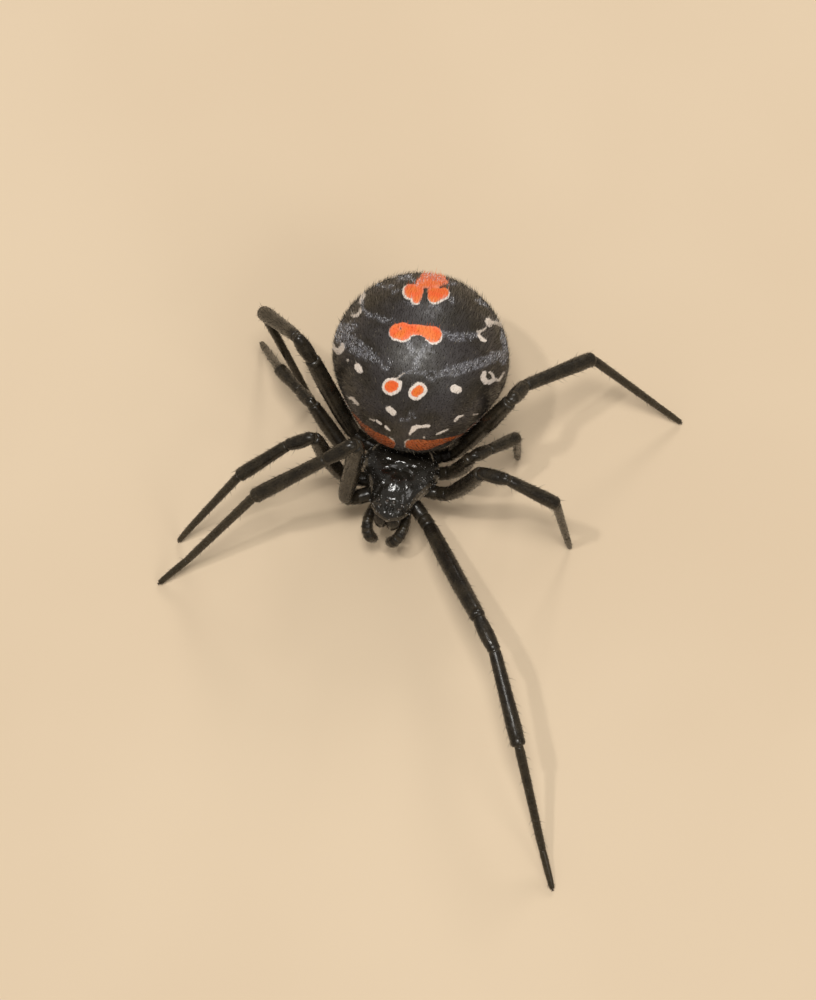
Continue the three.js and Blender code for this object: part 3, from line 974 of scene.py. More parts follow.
@dataclass(frozen=True)
class Mark:
    """One mark on the abdomen: a line of pixels, thick as told in millimetres at each of them.

    Attributes:
        layer: its colour.
        path: the pixels that it passes through in the reference picture.
        halves: half its width in millimetres at each of them.
        border: width of the cream edge round an orange mark.
        shift: how far the cream edge is moved, in pixels, so that it shows more on one side.
        blush: how much an orange mark pales to salmon towards its edge.
        dull: how much a cream mark is greyed.
    """

    layer: Layer
    path: tuple[Pair, ...]
    halves: tuple[float, ...]
    border: float = 0.0
    shift: Pair = (0.0, 0.0)
    blush: float = 0.0
    dull: float = 0.0

    def distance(self, pixels: Array, scale: float, grown: float = 0.0) -> Array:
        """Distance in millimetres from each pixel to the mark's edge, below nothing inside it.

        Args:
            pixels: rows of pixel coordinates.
            scale: pixels to a millimetre.
            grown: how much wider the mark is taken to be.

        Returns:
            One signed distance for each pixel.
        """
        shift = np.array(self.shift) if grown else np.zeros(2)
        return gap_to_stroke(pixels, np.array(self.path) + shift, self.halves, scale) - grown


def orange_marks() -> list[Mark]:
    """The orange marks in the reference picture, with their cream edges.

    Returns:
        The marks, where a later one covers an earlier one.
    """
    orange, deep, black = Layer.ORANGE, Layer.DEEP_ORANGE, Layer.BLACK
    return [
        # The two front bands, darkened as painted shade.
        Mark(deep, ((351.5, 412.5), (361, 425), (373, 435.6), (383.5, 441.2), (390.5, 444.2)),
             (0.04, 0.12, 0.2, 0.25, 0.2)),
        Mark(deep, ((409.5, 444.5), (417, 445), (428, 445), (442, 441.5), (455, 437.5), (468, 432.5)),
             (0.19, 0.25, 0.2, 0.11, 0.05, 0.02)),
        Mark(orange, ((390.4, 386.6), (393.0, 386.0)), (0.265, 0.24), 0.125, (0.5, 0.0), 0.25),
        Mark(orange, ((415.6, 392.8), (419.4, 389.8)), (0.195, 0.195), 0.14, (0.2, 0.0), 0.25),
        Mark(orange, ((396.9, 331.6), (402.4, 331.4), (412.5, 329.6), (423, 330.4), (433.4, 334.4)),
             (0.335, 0.4, 0.225, 0.235, 0.365), 0.03, (0.3, 1.3), 0.45),
        Mark(orange, ((411.2, 291.0), (417.4, 290.6), (416.6, 299.0)), (0.32, 0.27, 0.19), 0.03,
             (-1.2, 1.0), 0.75),
        Mark(orange, ((433.8, 291.6), (434.2, 296.0), (443.6, 292.8)), (0.28, 0.29, 0.23), 0.03,
             (0.6, 1.3), 0.2),
        Mark(orange, ((421, 283.5), (428, 279.5), (439, 280), (446, 282.5)), (0.24, 0.38, 0.3, 0.1),
             0.0, (0.0, 0.0), 1.3),
        Mark(black, ((412.5, 338.6), (418, 337.6), (423.5, 339.4)), (0.1, 0.12, 0.1)),
        Mark(black, ((400.5, 328.4),), (0.045,)),
        Mark(black, ((424.6, 306.0), (425.0, 301.0), (425.6, 295.5)), (0.2, 0.11, 0.01)),
        Mark(black, ((397.0, 394.6),), (0.06,)),
    ]


def cream_marks() -> list[Mark]:
    """The cream dots, dashes and hooks in the reference picture, from left to right.

    Returns:
        The marks.
    """
    cream = Layer.CREAM
    return [
        Mark(cream, ((332, 342), (334.8, 349.5), (338.6, 352.0), (341.8, 348.5), (342.6, 344.8)),
             (0.05, 0.09, 0.13, 0.13, 0.09), dull=0.35),
        Mark(cream, ((347.6, 360.3),), (0.06,), dull=0.3),
        Mark(cream, ((349.4, 398.2), (352.6, 398.4), (354.8, 401.2), (357.8, 404.2)),
             (0.055, 0.075, 0.065, 0.055), dull=0.7),
        Mark(cream, ((363.6, 295.2), (361.2, 300.0), (359.8, 303.4)), (0.09, 0.095, 0.05), dull=0.3),
        Mark(cream, ((360.2, 308.4), (360.4, 311.4), (357.4, 315.2), (353.4, 316.2), (351.2, 314.8)),
             (0.04, 0.055, 0.075, 0.07, 0.035), dull=0.5),
        Mark(cream, ((357.6, 366.8), (360.2, 370.8)), (0.15, 0.125), dull=0.1),
        Mark(cream, ((369.5, 419.2), (374.4, 420.4)), (0.025, 0.03), dull=0.8),
        Mark(cream, ((376.8, 420.8), (380.6, 424.0)), (0.05, 0.05)),
        Mark(cream, ((385.8, 427.0), (389.4, 430.4)), (0.06, 0.045)),
        Mark(cream, ((388.8, 408.8), (393.4, 412.8)), (0.125, 0.13), dull=0.1),
        Mark(cream, ((399.2, 383.4),), (0.13,)),
        Mark(cream, ((398.0, 378.0), (400.4, 375.4), (405.0, 373.0)), (0.04, 0.03, 0.015), dull=0.8),
        Mark(cream, ((417.4, 382.6),), (0.045,)),
        Mark(cream, ((409.6, 434.0), (413.2, 429.0), (416.0, 427.0), (421.0, 426.8), (428.4, 425.8)),
             (0.045, 0.115, 0.09, 0.05, 0.075)),
        Mark(cream, ((436.4, 434.3), (442.0, 432.0), (448.0, 429.3)), (0.03, 0.045, 0.025)),
        Mark(cream, ((455.2, 420.4), (458.0, 417.2), (463.6, 415.2)), (0.055, 0.06, 0.02)),
        Mark(cream, ((472.8, 414.5), (477.8, 414.1)), (0.025, 0.025), dull=0.4),
        Mark(cream, ((389.6, 437.2), (393.2, 440.2), (394.4, 444.6)), (0.03, 0.045, 0.035), dull=0.45),
        Mark(cream, ((404.8, 446.4), (405.4, 442.0), (409.4, 439.4)), (0.03, 0.04, 0.025), dull=0.5),
        Mark(cream, ((424.0, 437.5),), (0.045,), dull=0.3),
        Mark(cream, ((454.5, 388.7), (458.0, 390.0)), (0.185, 0.165)),
        Mark(cream, ((478.0, 331.9), (479.2, 336.0), (482.2, 339.4), (485.6, 340.8)),
             (0.075, 0.075, 0.085, 0.05)),
        Mark(cream, ((478.4, 331.8), (482.6, 330.8), (486.0, 327.4)), (0.06, 0.045, 0.035), dull=0.6),
        Mark(cream, ((488.2, 321.0), (489.4, 324.0)), (0.14, 0.13)),
        Mark(cream, ((491.0, 322.4), (497.4, 323.2), (501.2, 326.6), (504.0, 331.6)),
             (0.09, 0.07, 0.045, 0.025), dull=0.5),
        Mark(cream, ((484.4, 373.0), (482.8, 377.4), (485.0, 381.4), (489.4, 382.4), (493.8, 379.4),
             (499.0, 380.2), (502.0, 375.8), (504.2, 371.8)),
             (0.1, 0.12, 0.13, 0.1, 0.07, 0.06, 0.045, 0.03), dull=0.25),
        Mark(cream, ((493.6, 378.4), (492.8, 374.6), (489.8, 372.4)), (0.06, 0.055, 0.05), dull=0.3),
    ]


def down_and_sheen_streaks() -> list[Mark]:
    """The streaks of pale down, partly painted sheen, in the reference picture, from top left to bottom
    right.

    Returns:
        The marks.
    """
    down = Layer.DOWN
    return [
        Mark(down, ((341, 330), (352, 327)), (0.26, 0.2)),
        Mark(down, ((338, 337), (350, 343), (360, 349.5), (369, 356), (377, 361)),
             (0.2, 0.34, 0.33, 0.24, 0.13)),
        Mark(down, ((381.6, 362.4), (383.4, 367.6), (386.8, 368.8), (389, 365.2), (390, 360.8)),
             (0.06, 0.07, 0.07, 0.06, 0.05)),
        Mark(down, ((361.4, 303), (363, 310), (367, 313.5), (371, 316), (377, 317.5), (383, 320),
             (388, 321), (394, 319)), (0.09, 0.07, 0.07, 0.1, 0.11, 0.12, 0.07, 0.05)),
        Mark(down, ((375, 285), (384, 287.3), (390, 287)), (0.04, 0.06, 0.07)),
        Mark(down, ((399, 279), (403, 278.5), (409, 277.5), (413, 280.5)), (0.08, 0.11, 0.1, 0.07)),
        Mark(down, ((393.5, 292.5), (398, 290)), (0.06, 0.07)),
        Mark(down, ((405, 302), (411, 304.5), (414, 307)), (0.05, 0.05, 0.04)),
        Mark(down, ((418, 283), (428, 275), (444, 281)), (0.1, 0.16, 0.12)),
        Mark(down, ((448, 298), (452, 300), (452, 303)), (0.06, 0.09, 0.06)),
        Mark(down, ((446, 283), (456, 284)), (0.05, 0.05)),
        Mark(down, ((476, 300.5), (481, 302.5), (488, 307)), (0.04, 0.08, 0.05)),
        Mark(down, ((430, 306), (440, 308)), (0.05, 0.03)),
        Mark(down, ((407.5, 341), (411, 347), (412.5, 353)), (0.14, 0.14, 0.09)),
        Mark(down, ((432, 341.5), (424, 349), (419, 357), (416, 364), (414.5, 371)),
             (0.09, 0.14, 0.14, 0.16, 0.12)),
        Mark(down, ((426, 347), (433, 352)), (0.07, 0.06)),
        Mark(down, ((411, 372), (405, 372.5), (399.5, 377)), (0.07, 0.045, 0.04)),
        Mark(down, ((416, 372), (425.5, 373.5), (428, 378.5), (433, 380), (436.5, 376), (434, 371.5),
             (430, 371)), (0.08, 0.06, 0.055, 0.055, 0.055, 0.05, 0.04)),
        Mark(down, ((440, 375), (447, 371), (457, 371), (468, 366.5), (480, 363.5), (490, 359.5),
             (500, 355)), (0.1, 0.19, 0.23, 0.24, 0.2, 0.22, 0.2)),
        Mark(down, ((503, 333), (505, 348), (503, 362)), (0.12, 0.15, 0.13)),
        Mark(down, ((444, 334), (450, 337), (458, 337.5), (468, 336.5), (476, 335)),
             (0.12, 0.16, 0.18, 0.17, 0.1)),
        Mark(down, ((401, 420), (409, 419.5), (411, 412.5), (415, 417)), (0.05, 0.05, 0.05, 0.04)),
    ]


@dataclass(frozen=True)
class HiddenMark:
    """A mark that the picture doesn't show: a line of directions from the abdomen's middle.

    Attributes:
        layer: its colour.
        path: turns from straight ahead towards the spider's left, and rises, in degrees.
        halves: half its width in millimetres at each of them.
        border: width of its cream edge.
    """

    layer: Layer
    path: tuple[Pair, ...]
    halves: tuple[float, ...]
    border: float = 0.0

    def distance(self, points: Array, directions: Array, grown: float = 0.0) -> Array:
        """Distance in millimetres from each point to the mark's edge, below nothing inside it.

        Args:
            points: the abdomen's points.
            directions: their directions from its middle.
            grown: how much wider the mark is taken to be.

        Returns:
            One signed distance for each point.
        """
        anchors = []
        for turn, rise in self.path:
            level = math.cos(math.radians(rise))
            way = np.array([level * math.sin(math.radians(turn)), -level * math.cos(math.radians(turn)),
                            math.sin(math.radians(rise))])
            anchors.append(points[np.argmax(directions @ way)])
        return gap_to_stroke(points, np.array(anchors), self.halves) - grown


def hidden_marks() -> list[HiddenMark]:
    """The marks of the species where the picture shows none: below, behind and on the flanks.

    Returns:
        The marks.
    """
    orange, cream, deep = Layer.ORANGE, Layer.CREAM, Layer.DEEP_ORANGE
    marks = [
        HiddenMark(orange, ((176, 52), (178, 34), (180, 20)), (0.42, 0.34, 0.16), 0.05),
        HiddenMark(orange, ((180, 8), (180, -4)), (0.26, 0.16), 0.05),
        HiddenMark(orange, ((-24, -66), (0, -64), (24, -66)), (0.26, 0.42, 0.26), 0.04),
        HiddenMark(orange, ((0, -64), (0, -80)), (0.36, 0.14), 0.0),
        HiddenMark(orange, ((180, -86), (180, -76)), (0.16, 0.36), 0.0),
        HiddenMark(orange, ((158, -72), (180, -70), (-158, -72)), (0.26, 0.36, 0.26), 0.04),
    ]
    for side in (1, -1):
        marks += [
            # The front bands' ends on the flanks, darkened as painted shade.
            HiddenMark(deep, ((side * 44, 4), (side * 58, 2), (side * 74, -4)),
                       (0.12, 0.1, 0.04), 0.04),
            HiddenMark(cream, ((side * 88, -4), (side * 94, -10), (side * 102, -8), (side * 104, 0)),
                       (0.10, 0.13, 0.12, 0.07)),
            HiddenMark(cream, ((side * 122, 6), (side * 128, -2), (side * 136, 0)),
                       (0.10, 0.13, 0.08)),
            HiddenMark(cream, ((side * 150, 22), (side * 154, 12), (side * 160, 12)),
                       (0.09, 0.11, 0.07)),
        ]
    return marks


@dataclass
class Abdomen:
    """The round abdomen, its marks, and the waist that joins it to the thorax."""

    palette: Palette
    view: PhotoView
    rings: int = 250
    sides: int = 340
    detail: int = 8
    coat_depth: float = 0.03
    dimples: tuple[Pair, ...] = ((400.6, 329.0), (430.5, 289.0), (386.5, 366.5), (431.5, 376.0))
    dimple_depth: float = 0.035
    dimple_width: float = 0.16
    waist_radii: tuple = ((0, 0.22), (0.5, 0.24), (1, 0.3))
    waist_ends: tuple = ((0.0, -0.35, -0.12), (0.0, 0.5, 0.3))
    seen_from: float = -0.02
    unseen_below: float = 0.12
    # Fade of the down streaks, which are partly painted sheen.
    down_and_sheen_fade: Pair = (-0.08, 0.09)
    dull_reach: float = 0.08
    rim_reach: float = 0.05
    # The four below paint shade on the front bands: their greyed cream edge, how the darkening fades, and
    # its share where seen and where hidden.
    painted_shade_rim_dull: float = 0.6
    painted_shade_fade: Pair = (0.05, 0.15)
    painted_shade_share: float = 0.85
    hidden_painted_shade_share: float = 0.5

    def surface(self) -> Skin:
        """Fits one smooth surface through the abdomen's solid, with poles at front and rear.

        Returns:
            The plain surface.
        """
        corners, _ = Solids.mesh("abdomen")
        middle, _ = Solids.middle("abdomen")
        rays = corners - middle
        reach = np.linalg.norm(rays, axis=1)
        shares, *_ = np.linalg.lstsq(self._terms(rays / reach[:, None]), reach, rcond=None)
        from_front = math.pi * (np.arange(self.rings) + 1) / (self.rings + 1)
        angle = 2 * math.pi * np.arange(self.sides) / self.sides
        ways = np.stack([np.sin(from_front)[:, None] * np.cos(angle),
                         np.repeat(-np.cos(from_front)[:, None], self.sides, axis=1),
                         np.sin(from_front)[:, None] * np.sin(angle)], axis=-1)
        poles = np.array([[0.0, -1.0, 0.0], [0.0, 1.0, 0.0]])
        self.ways = np.concatenate([ways.reshape(-1, 3), poles])
        radius = self._terms(self.ways) @ shares - self.coat_depth
        points = middle + self.ways * radius[:, None]
        rings = points[:-2].reshape(self.rings, self.sides, 3)
        return loft(rings, points[-2], points[-1], Chart())

    def _terms(self, ways: Array) -> Array:
        """Products of a direction's parts that span every smooth shape up to the chosen detail.

        Args:
            ways: rows of directions.

        Returns:
            One row of products for each direction.
        """
        x, y, z = ways.T
        return np.stack([x ** a * y ** b * z ** (degree - a - b)
                         for degree in (self.detail - 1, self.detail)
                         for a in range(degree + 1) for b in range(degree + 1 - a)], axis=1)

    def dress(self, skin: Skin) -> None:
        """Presses in the muscle dimples and works out the marks and the coat.

        Args:
            skin: the plain surface, which gets its dimples and its values.
        """
        normals = skin.normals()
        pixels = self.view.pixel(skin.points)
        facing = normals @ self.view.back
        for place in self.dimples:
            gap = np.linalg.norm(pixels - np.array(place), axis=1) / self.view.pixels_per_mm
            dent = self.dimple_depth * bell(gap, self.dimple_width) * (facing > 0)
            skin.points -= normals * dent[:, None]
        skin.values = self.marks(skin.points, pixels, facing)
        rearward, upward = self.ways[:, 1], self.ways[:, 2]
        lie = np.array([0.0, 1.0, 0.0]) - normals * normals[:, 1:2] + np.array([0.0, 0.0, -0.12])
        skin.values |= {
            "lie": unit(lie),
            "coat": np.clip(1 - step(-rearward + 0.9 * -upward, 1.05, 1.3), 0, 1),
            "coat_length": 0.85 + 0.45 * step(rearward, -0.2, 0.8),
        }

    def marks(self, points: Array, pixels: Array, facing: Array) -> dict[str, Array]:
        """Works out how far each point lies from the marks of each colour.

        Args:
            points: the skin's points.
            pixels: where they fall in the picture.
            facing: how squarely each faces the camera.

        Returns:
            Distances to the cream and to the orange, and shares of the other tints, among them the
            painted shade on the front bands.
        """
        scale = self.view.pixels_per_mm
        cream, orange, black = (np.full(len(points), FAR) for _ in range(3))
        deep, blush, dull, down = (np.zeros(len(points)) for _ in range(4))
        seen = facing > self.seen_from
        for mark in orange_marks() + cream_marks() + down_and_sheen_streaks():
            gap = np.where(seen, mark.distance(pixels, scale), FAR)
            if mark.layer is Layer.DOWN:
                # Down streaks, partly painted sheen.
                down = np.maximum(down, 1 - step(gap, *self.down_and_sheen_fade))
            elif mark.layer is Layer.CREAM:
                cream = np.minimum(cream, gap)
                dull = np.where(gap < self.dull_reach, mark.dull, dull)
            elif mark.layer is Layer.BLACK:
                black = np.minimum(black, gap)
            else:
                orange = np.minimum(orange, gap)
                if mark.border:
                    rim = mark.distance(pixels, scale, mark.border)
                    cream = np.minimum(cream, np.where(seen, rim, FAR))
                    painted_shade_rim_dull = self.painted_shade_rim_dull * (mark.layer is Layer.DEEP_ORANGE)
                    dull = np.where(rim < self.rim_reach, painted_shade_rim_dull, dull)
                blush = np.where(gap < self.rim_reach, mark.blush, blush)
                # Painted shade on the front bands.
                if mark.layer is Layer.DEEP_ORANGE:
                    deep = np.maximum(deep, self.painted_shade_share * (1 - step(gap, *self.painted_shade_fade)))
        unseen = facing < self.unseen_below
        for mark in hidden_marks():
            gap = np.where(unseen, mark.distance(points, self.ways), FAR)
            if mark.layer is Layer.CREAM:
                cream = np.minimum(cream, gap)
                continue
            orange = np.minimum(orange, gap)
            if mark.border:
                rim = mark.distance(points, self.ways, mark.border)
                cream = np.minimum(cream, np.where(unseen, rim, FAR))
            # Painted shade on the front bands' ends on the flanks.
            if mark.layer is Layer.DEEP_ORANGE:
                deep = np.maximum(deep, self.hidden_painted_shade_share * (1 - step(gap, *self.painted_shade_fade)))
        # deep is the share of painted shade on the front bands.
        return {"cream": np.maximum(cream, -black), "orange": np.maximum(orange, -black), "deep": deep,
                "blush": blush, "dull": dull, "down": down}

    def waist(self) -> Skin:
        """The narrow stalk between thorax and abdomen, sunk into both.

        Returns:
            Its closed surface.
        """
        centre, half = Solids.middle("pedicel")
        front, rear = np.array(self.waist_ends)
        start = centre + (front - [0.0, half[1], 0.0])
        end = centre + (rear + [0.0, half[1], 0.0])
        return Tube(np.linspace(start, end, 5), list(self.waist_radii), Chart(), coat=0.0,
                    membrane=0.35, girth=Girth.ROUND).skin()

    def build(self) -> list[Piece]:
        """Makes the abdomen and the waist.

        Returns:
            Both pieces.
        """
        skin = self.surface()
        self.dress(skin)
        return [skin.to_piece("abdomen_skin", self.palette.abdomen, "abdomen", "abdomen"),
                self.waist().to_piece("waist", self.palette.carapace, "carapace", "pedicel")]


@dataclass
class Plate:
    """A shell taken from its solid, evenly meshed and smoothed, ready for finer relief."""

    node: str
    voxel: float
    rounds: int

    def skin(self) -> Skin:
        """Meshes the solid evenly and smooths away its facets.

        Returns:
            The smooth shell.
        """
        points, triangles = Solids.mesh(self.node)
        mesh = bpy.data.meshes.new("rough")
        mesh.from_pydata(points.tolist(), [], triangles.tolist())
        rough = linked("rough", mesh)
        voxels = rough.modifiers.new("voxels", "REMESH")
        voxels.mode = "VOXEL"
        voxels.voxel_size = self.voxel
        graph = bpy.context.evaluated_depsgraph_get()
        even = bpy.data.meshes.new_from_object(rough.evaluated_get(graph))
        places = column(even.vertices, "co", 3, np.float32).astype(float)
        edges = column(even.edges, "vertices", 2, np.int32)
        faces = [tuple(polygon.vertices) for polygon in even.polygons]
        bpy.data.objects.remove(rough)
        bpy.data.meshes.remove(even)
        return self._charted(self._relaxed(places, edges), faces)

    def _relaxed(self, points: Array, edges: Array) -> Array:
        """Smooths points along their edges without shrinking the whole.

        Args:
            points: the mesh's points.
            edges: rows of two point numbers.

        Returns:
            The smoothed points.
        """
        ends = np.concatenate([edges, edges[:, ::-1]])
        count = np.bincount(ends[:, 0], minlength=len(points))[:, None]
        for _ in range(self.rounds):
            for strength in (0.6, -0.62):
                total = np.stack([np.bincount(ends[:, 0], points[ends[:, 1], k], len(points))
                                  for k in range(3)], axis=1)
                points = points + strength * (total / count - points)
        return points

    def _charted(self, points: Array, faces: list[tuple[int, ...]]) -> Skin:
        """Unrolls the shell by the directions from its middle, without a face across the seam.

        Args:
            points: the shell's points.
            faces: its faces.

        Returns:
            The shell with its chart.
        """
        way = unit(points - 0.5 * (points.min(axis=0) + points.max(axis=0)))
        turn = np.arctan2(way[:, 0], -way[:, 1]) / (2 * math.pi) + 0.5
        rise = np.arcsin(np.clip(way[:, 2], -1, 1)) / math.pi + 0.5
        corners = []
        for face in faces:
            u = turn[list(face)]
            if np.ptp(u) > 0.5:
                u = np.where(u < 0.5, u + 1, u)
            corners.append(Chart((0.02, 0.02), (0.86, 0.98)).place(u, rise[list(face)]))
        return Skin(points, faces, np.concatenate(corners)).outward()


@dataclass
class Carapace:
    """The shell over head and thorax, with its pit, furrows, rim and eye mounds."""

    palette: Palette
    fovea: float = -1.54
    fovea_depth: float = 0.19
    fovea_curve: float = 0.75
    fovea_half: Pair = (0.46, 0.13)
    crest: float = 0.26
    crest_height: float = 0.08
    crest_half: Pair = (0.55, 0.16)
    furrow_depth: float = 0.010
    furrow_width: float = 0.12
    furrow_turns: tuple[float, ...] = (72.0, 108.0, 142.0)
    furrow_reach: tuple[float, ...] = (0.45, 0.7, 1.15, 1.5)
    head_groove: tuple = ((0.20, -1.95), (0.50, -2.45), (0.80, -3.05))
    groove_depth: float = 0.032
    groove_width: float = 0.13
    rim_height: float = 0.44
    rim_bead: float = 0.035
    rim_width: float = 0.06
    dome: float = 0.03
    dome_middle: float = -2.55
    dome_half: Pair = (0.16, 0.6)
    eye_mound: float = 0.04
    brow: float = 0.33
    brow_half: float = 0.75
    brow_reach: Pair = (3.35, 3.58)

    def build(self) -> list[Piece]:
        """Makes the shell.

        Returns:
            The one piece.
        """
        skin = Plate("carapace", voxel=0.04, rounds=20).skin()
        self.relief(skin)
        return [skin.to_piece("carapace_shell", self.palette.carapace, "carapace", "carapace")]

    def relief(self, skin: Skin) -> None:
        """Raises and presses the shell's own forms, and notes where its coat grows.

        Args:
            skin: the plain shell, which gets its relief and its values.
        """
        normals = skin.normals()
        head = Prosoma()
        x, y, z = head.local(skin.points).T
        upper = step(normals[:, 2], 0.0, 0.35)
        ahead = y - self.fovea + self.fovea_curve * x ** 2
        pit = self._oval(x, ahead, self.fovea_half)
        rise = -self.fovea_depth * bell(pit, 0.85) * upper
        rise += self.crest_height * bell(self._oval(x, ahead - self.crest, self.crest_half), 1.0) * upper
        turn = np.degrees(np.arctan2(np.abs(x), self.fovea - y))
        distance = np.hypot(x, y - self.fovea)
        start, full, fading, end = self.furrow_reach
        ring = step(distance, start, full) * (1 - step(distance, fading, end))
        for middle in self.furrow_turns:
            across = np.radians(turn - middle) * distance
            rise -= self.furrow_depth * bell(across, self.furrow_width) * ring * upper
        groove = gap_to_stroke(np.stack([np.abs(x), y], axis=1), np.array(self.head_groove),
                               (0.0,) * len(self.head_groove))
        rise -= self.groove_depth * bell(groove, self.groove_width) * upper
        bead = bell(z - self.rim_height, self.rim_width) * (1 - upper) * step(y, -2.7, -2.2)
        rise += self.rim_bead * bead
        rise += self.dome * bell(self._oval(x, y - self.dome_middle, self.dome_half), 1.0) * upper
        for node in Eyes.names():
            centre, half = Solids.middle(node)
            radius = half[0]
            gap = np.linalg.norm(skin.points - centre, axis=1)
            mound = bell(gap - 1.55 * radius, 0.5 * radius) * step(normals[:, 2], -0.4, 0.2)
            rise += self.eye_mound * mound
            rise = np.where(gap < 1.05 * radius, -0.3 * radius, rise)
        bulge = self.brow * (1 - (x / self.brow_half) ** 2).clip(0, 1) * step(-y, *self.brow_reach)
        skin.points += normals * rise[:, None] - head.axes[1] * bulge[:, None]
        outward = np.stack([0.5 * x, -0.2 + 0 * y, -0.3 + 0 * z], axis=1)
        lie = np.where((y < -1.9)[:, None], np.array([0.0, -1.0, 0.1]), outward)
        # A pale band along the side rim: painted reflection.
        painted_rim_reflection = bell(z - self.rim_height, 0.035) * (normals[:, 2] < 0.75) * step(y, -3.0, -2.4)
        skin.values = {
            "lie": unit(lie - normals * np.sum(lie * normals, axis=1, keepdims=True) + 1e-6),
            "coat": (0.25 + 0.75 * step(np.abs(x), 0.25, 0.8)) * step(z, -0.5, 0.3)
            * (1 - bell(pit, 1.1)) * step(-y, 0.1, 0.4),
            "coat_length": 0.8 + 0.6 * step(-y, 2.6, 3.3),
            "membrane": np.zeros(len(x)),
            "outward": 0.5 + 0.5 * painted_rim_reflection,
        }

    @staticmethod
    def _oval(across: Array, along: Array, halves: Pair) -> Array:
        """Distance from an oval's middle, one at its edge."""
        return np.hypot(across / halves[0], along / halves[1])


@dataclass
class Breastplate:
    """The sternum with the lip and maxillae, and the spinnerets at the abdomen's rear."""

    palette: Palette

    def build(self) -> list[Piece]:
        """Makes both from their solids.

        Returns:
            The breastplate and the spinnerets.
        """
        pieces = []
        for node, name, material, slot, voxel in (
                ("sternum", "breastplate", self.palette.carapace, "carapace", 0.04),
                ("spinnerets", "spinneret_skin", self.palette.leg, "leg", 0.03)):
            skin = Plate(node, voxel=voxel, rounds=14).skin()
            normals = skin.normals()
            down = np.array([0.0, 0.4, -1.0])
            skin.values = {
                "lie": unit(down - normals * (normals @ down)[:, None] + 1e-6),
                "coat": np.where(normals[:, 2] < 0.2, 0.7, 0.0),
                "coat_length": np.full(len(skin.points), 0.9),
                "membrane": np.zeros(len(skin.points)),
                "outward": np.zeros(len(skin.points)),
            }
            pieces.append(skin.to_piece(name, material, slot, node))
        return pieces


@dataclass
class Eyes:
    """Eight glassy eyes in two rows, each where its solid sits."""

    palette: Palette
    proud: float = 1.04

    @staticmethod
    def names() -> list[str]:
        """The eyes' nodes."""
        return [f"eye_{side}_{row}" for side in ("left", "right")
                for row in ("front_middle", "front_side", "rear_middle", "rear_side")]

    def build(self) -> list[Piece]:
        """Makes each lens as a smooth ball.

        Returns:
            The eight lenses.
        """
        lenses = []
        for node in self.names():
            centre, half = Solids.middle(node)
            lens = joint_ball(centre, half[2] * self.proud, Chart())
            lens.values = {}
            finish = self.palette.eye if node.endswith("front_middle") else self.palette.pale_eye
            lenses.append(lens.to_piece(f"{node}_lens", finish, "eye", node))
        return lenses


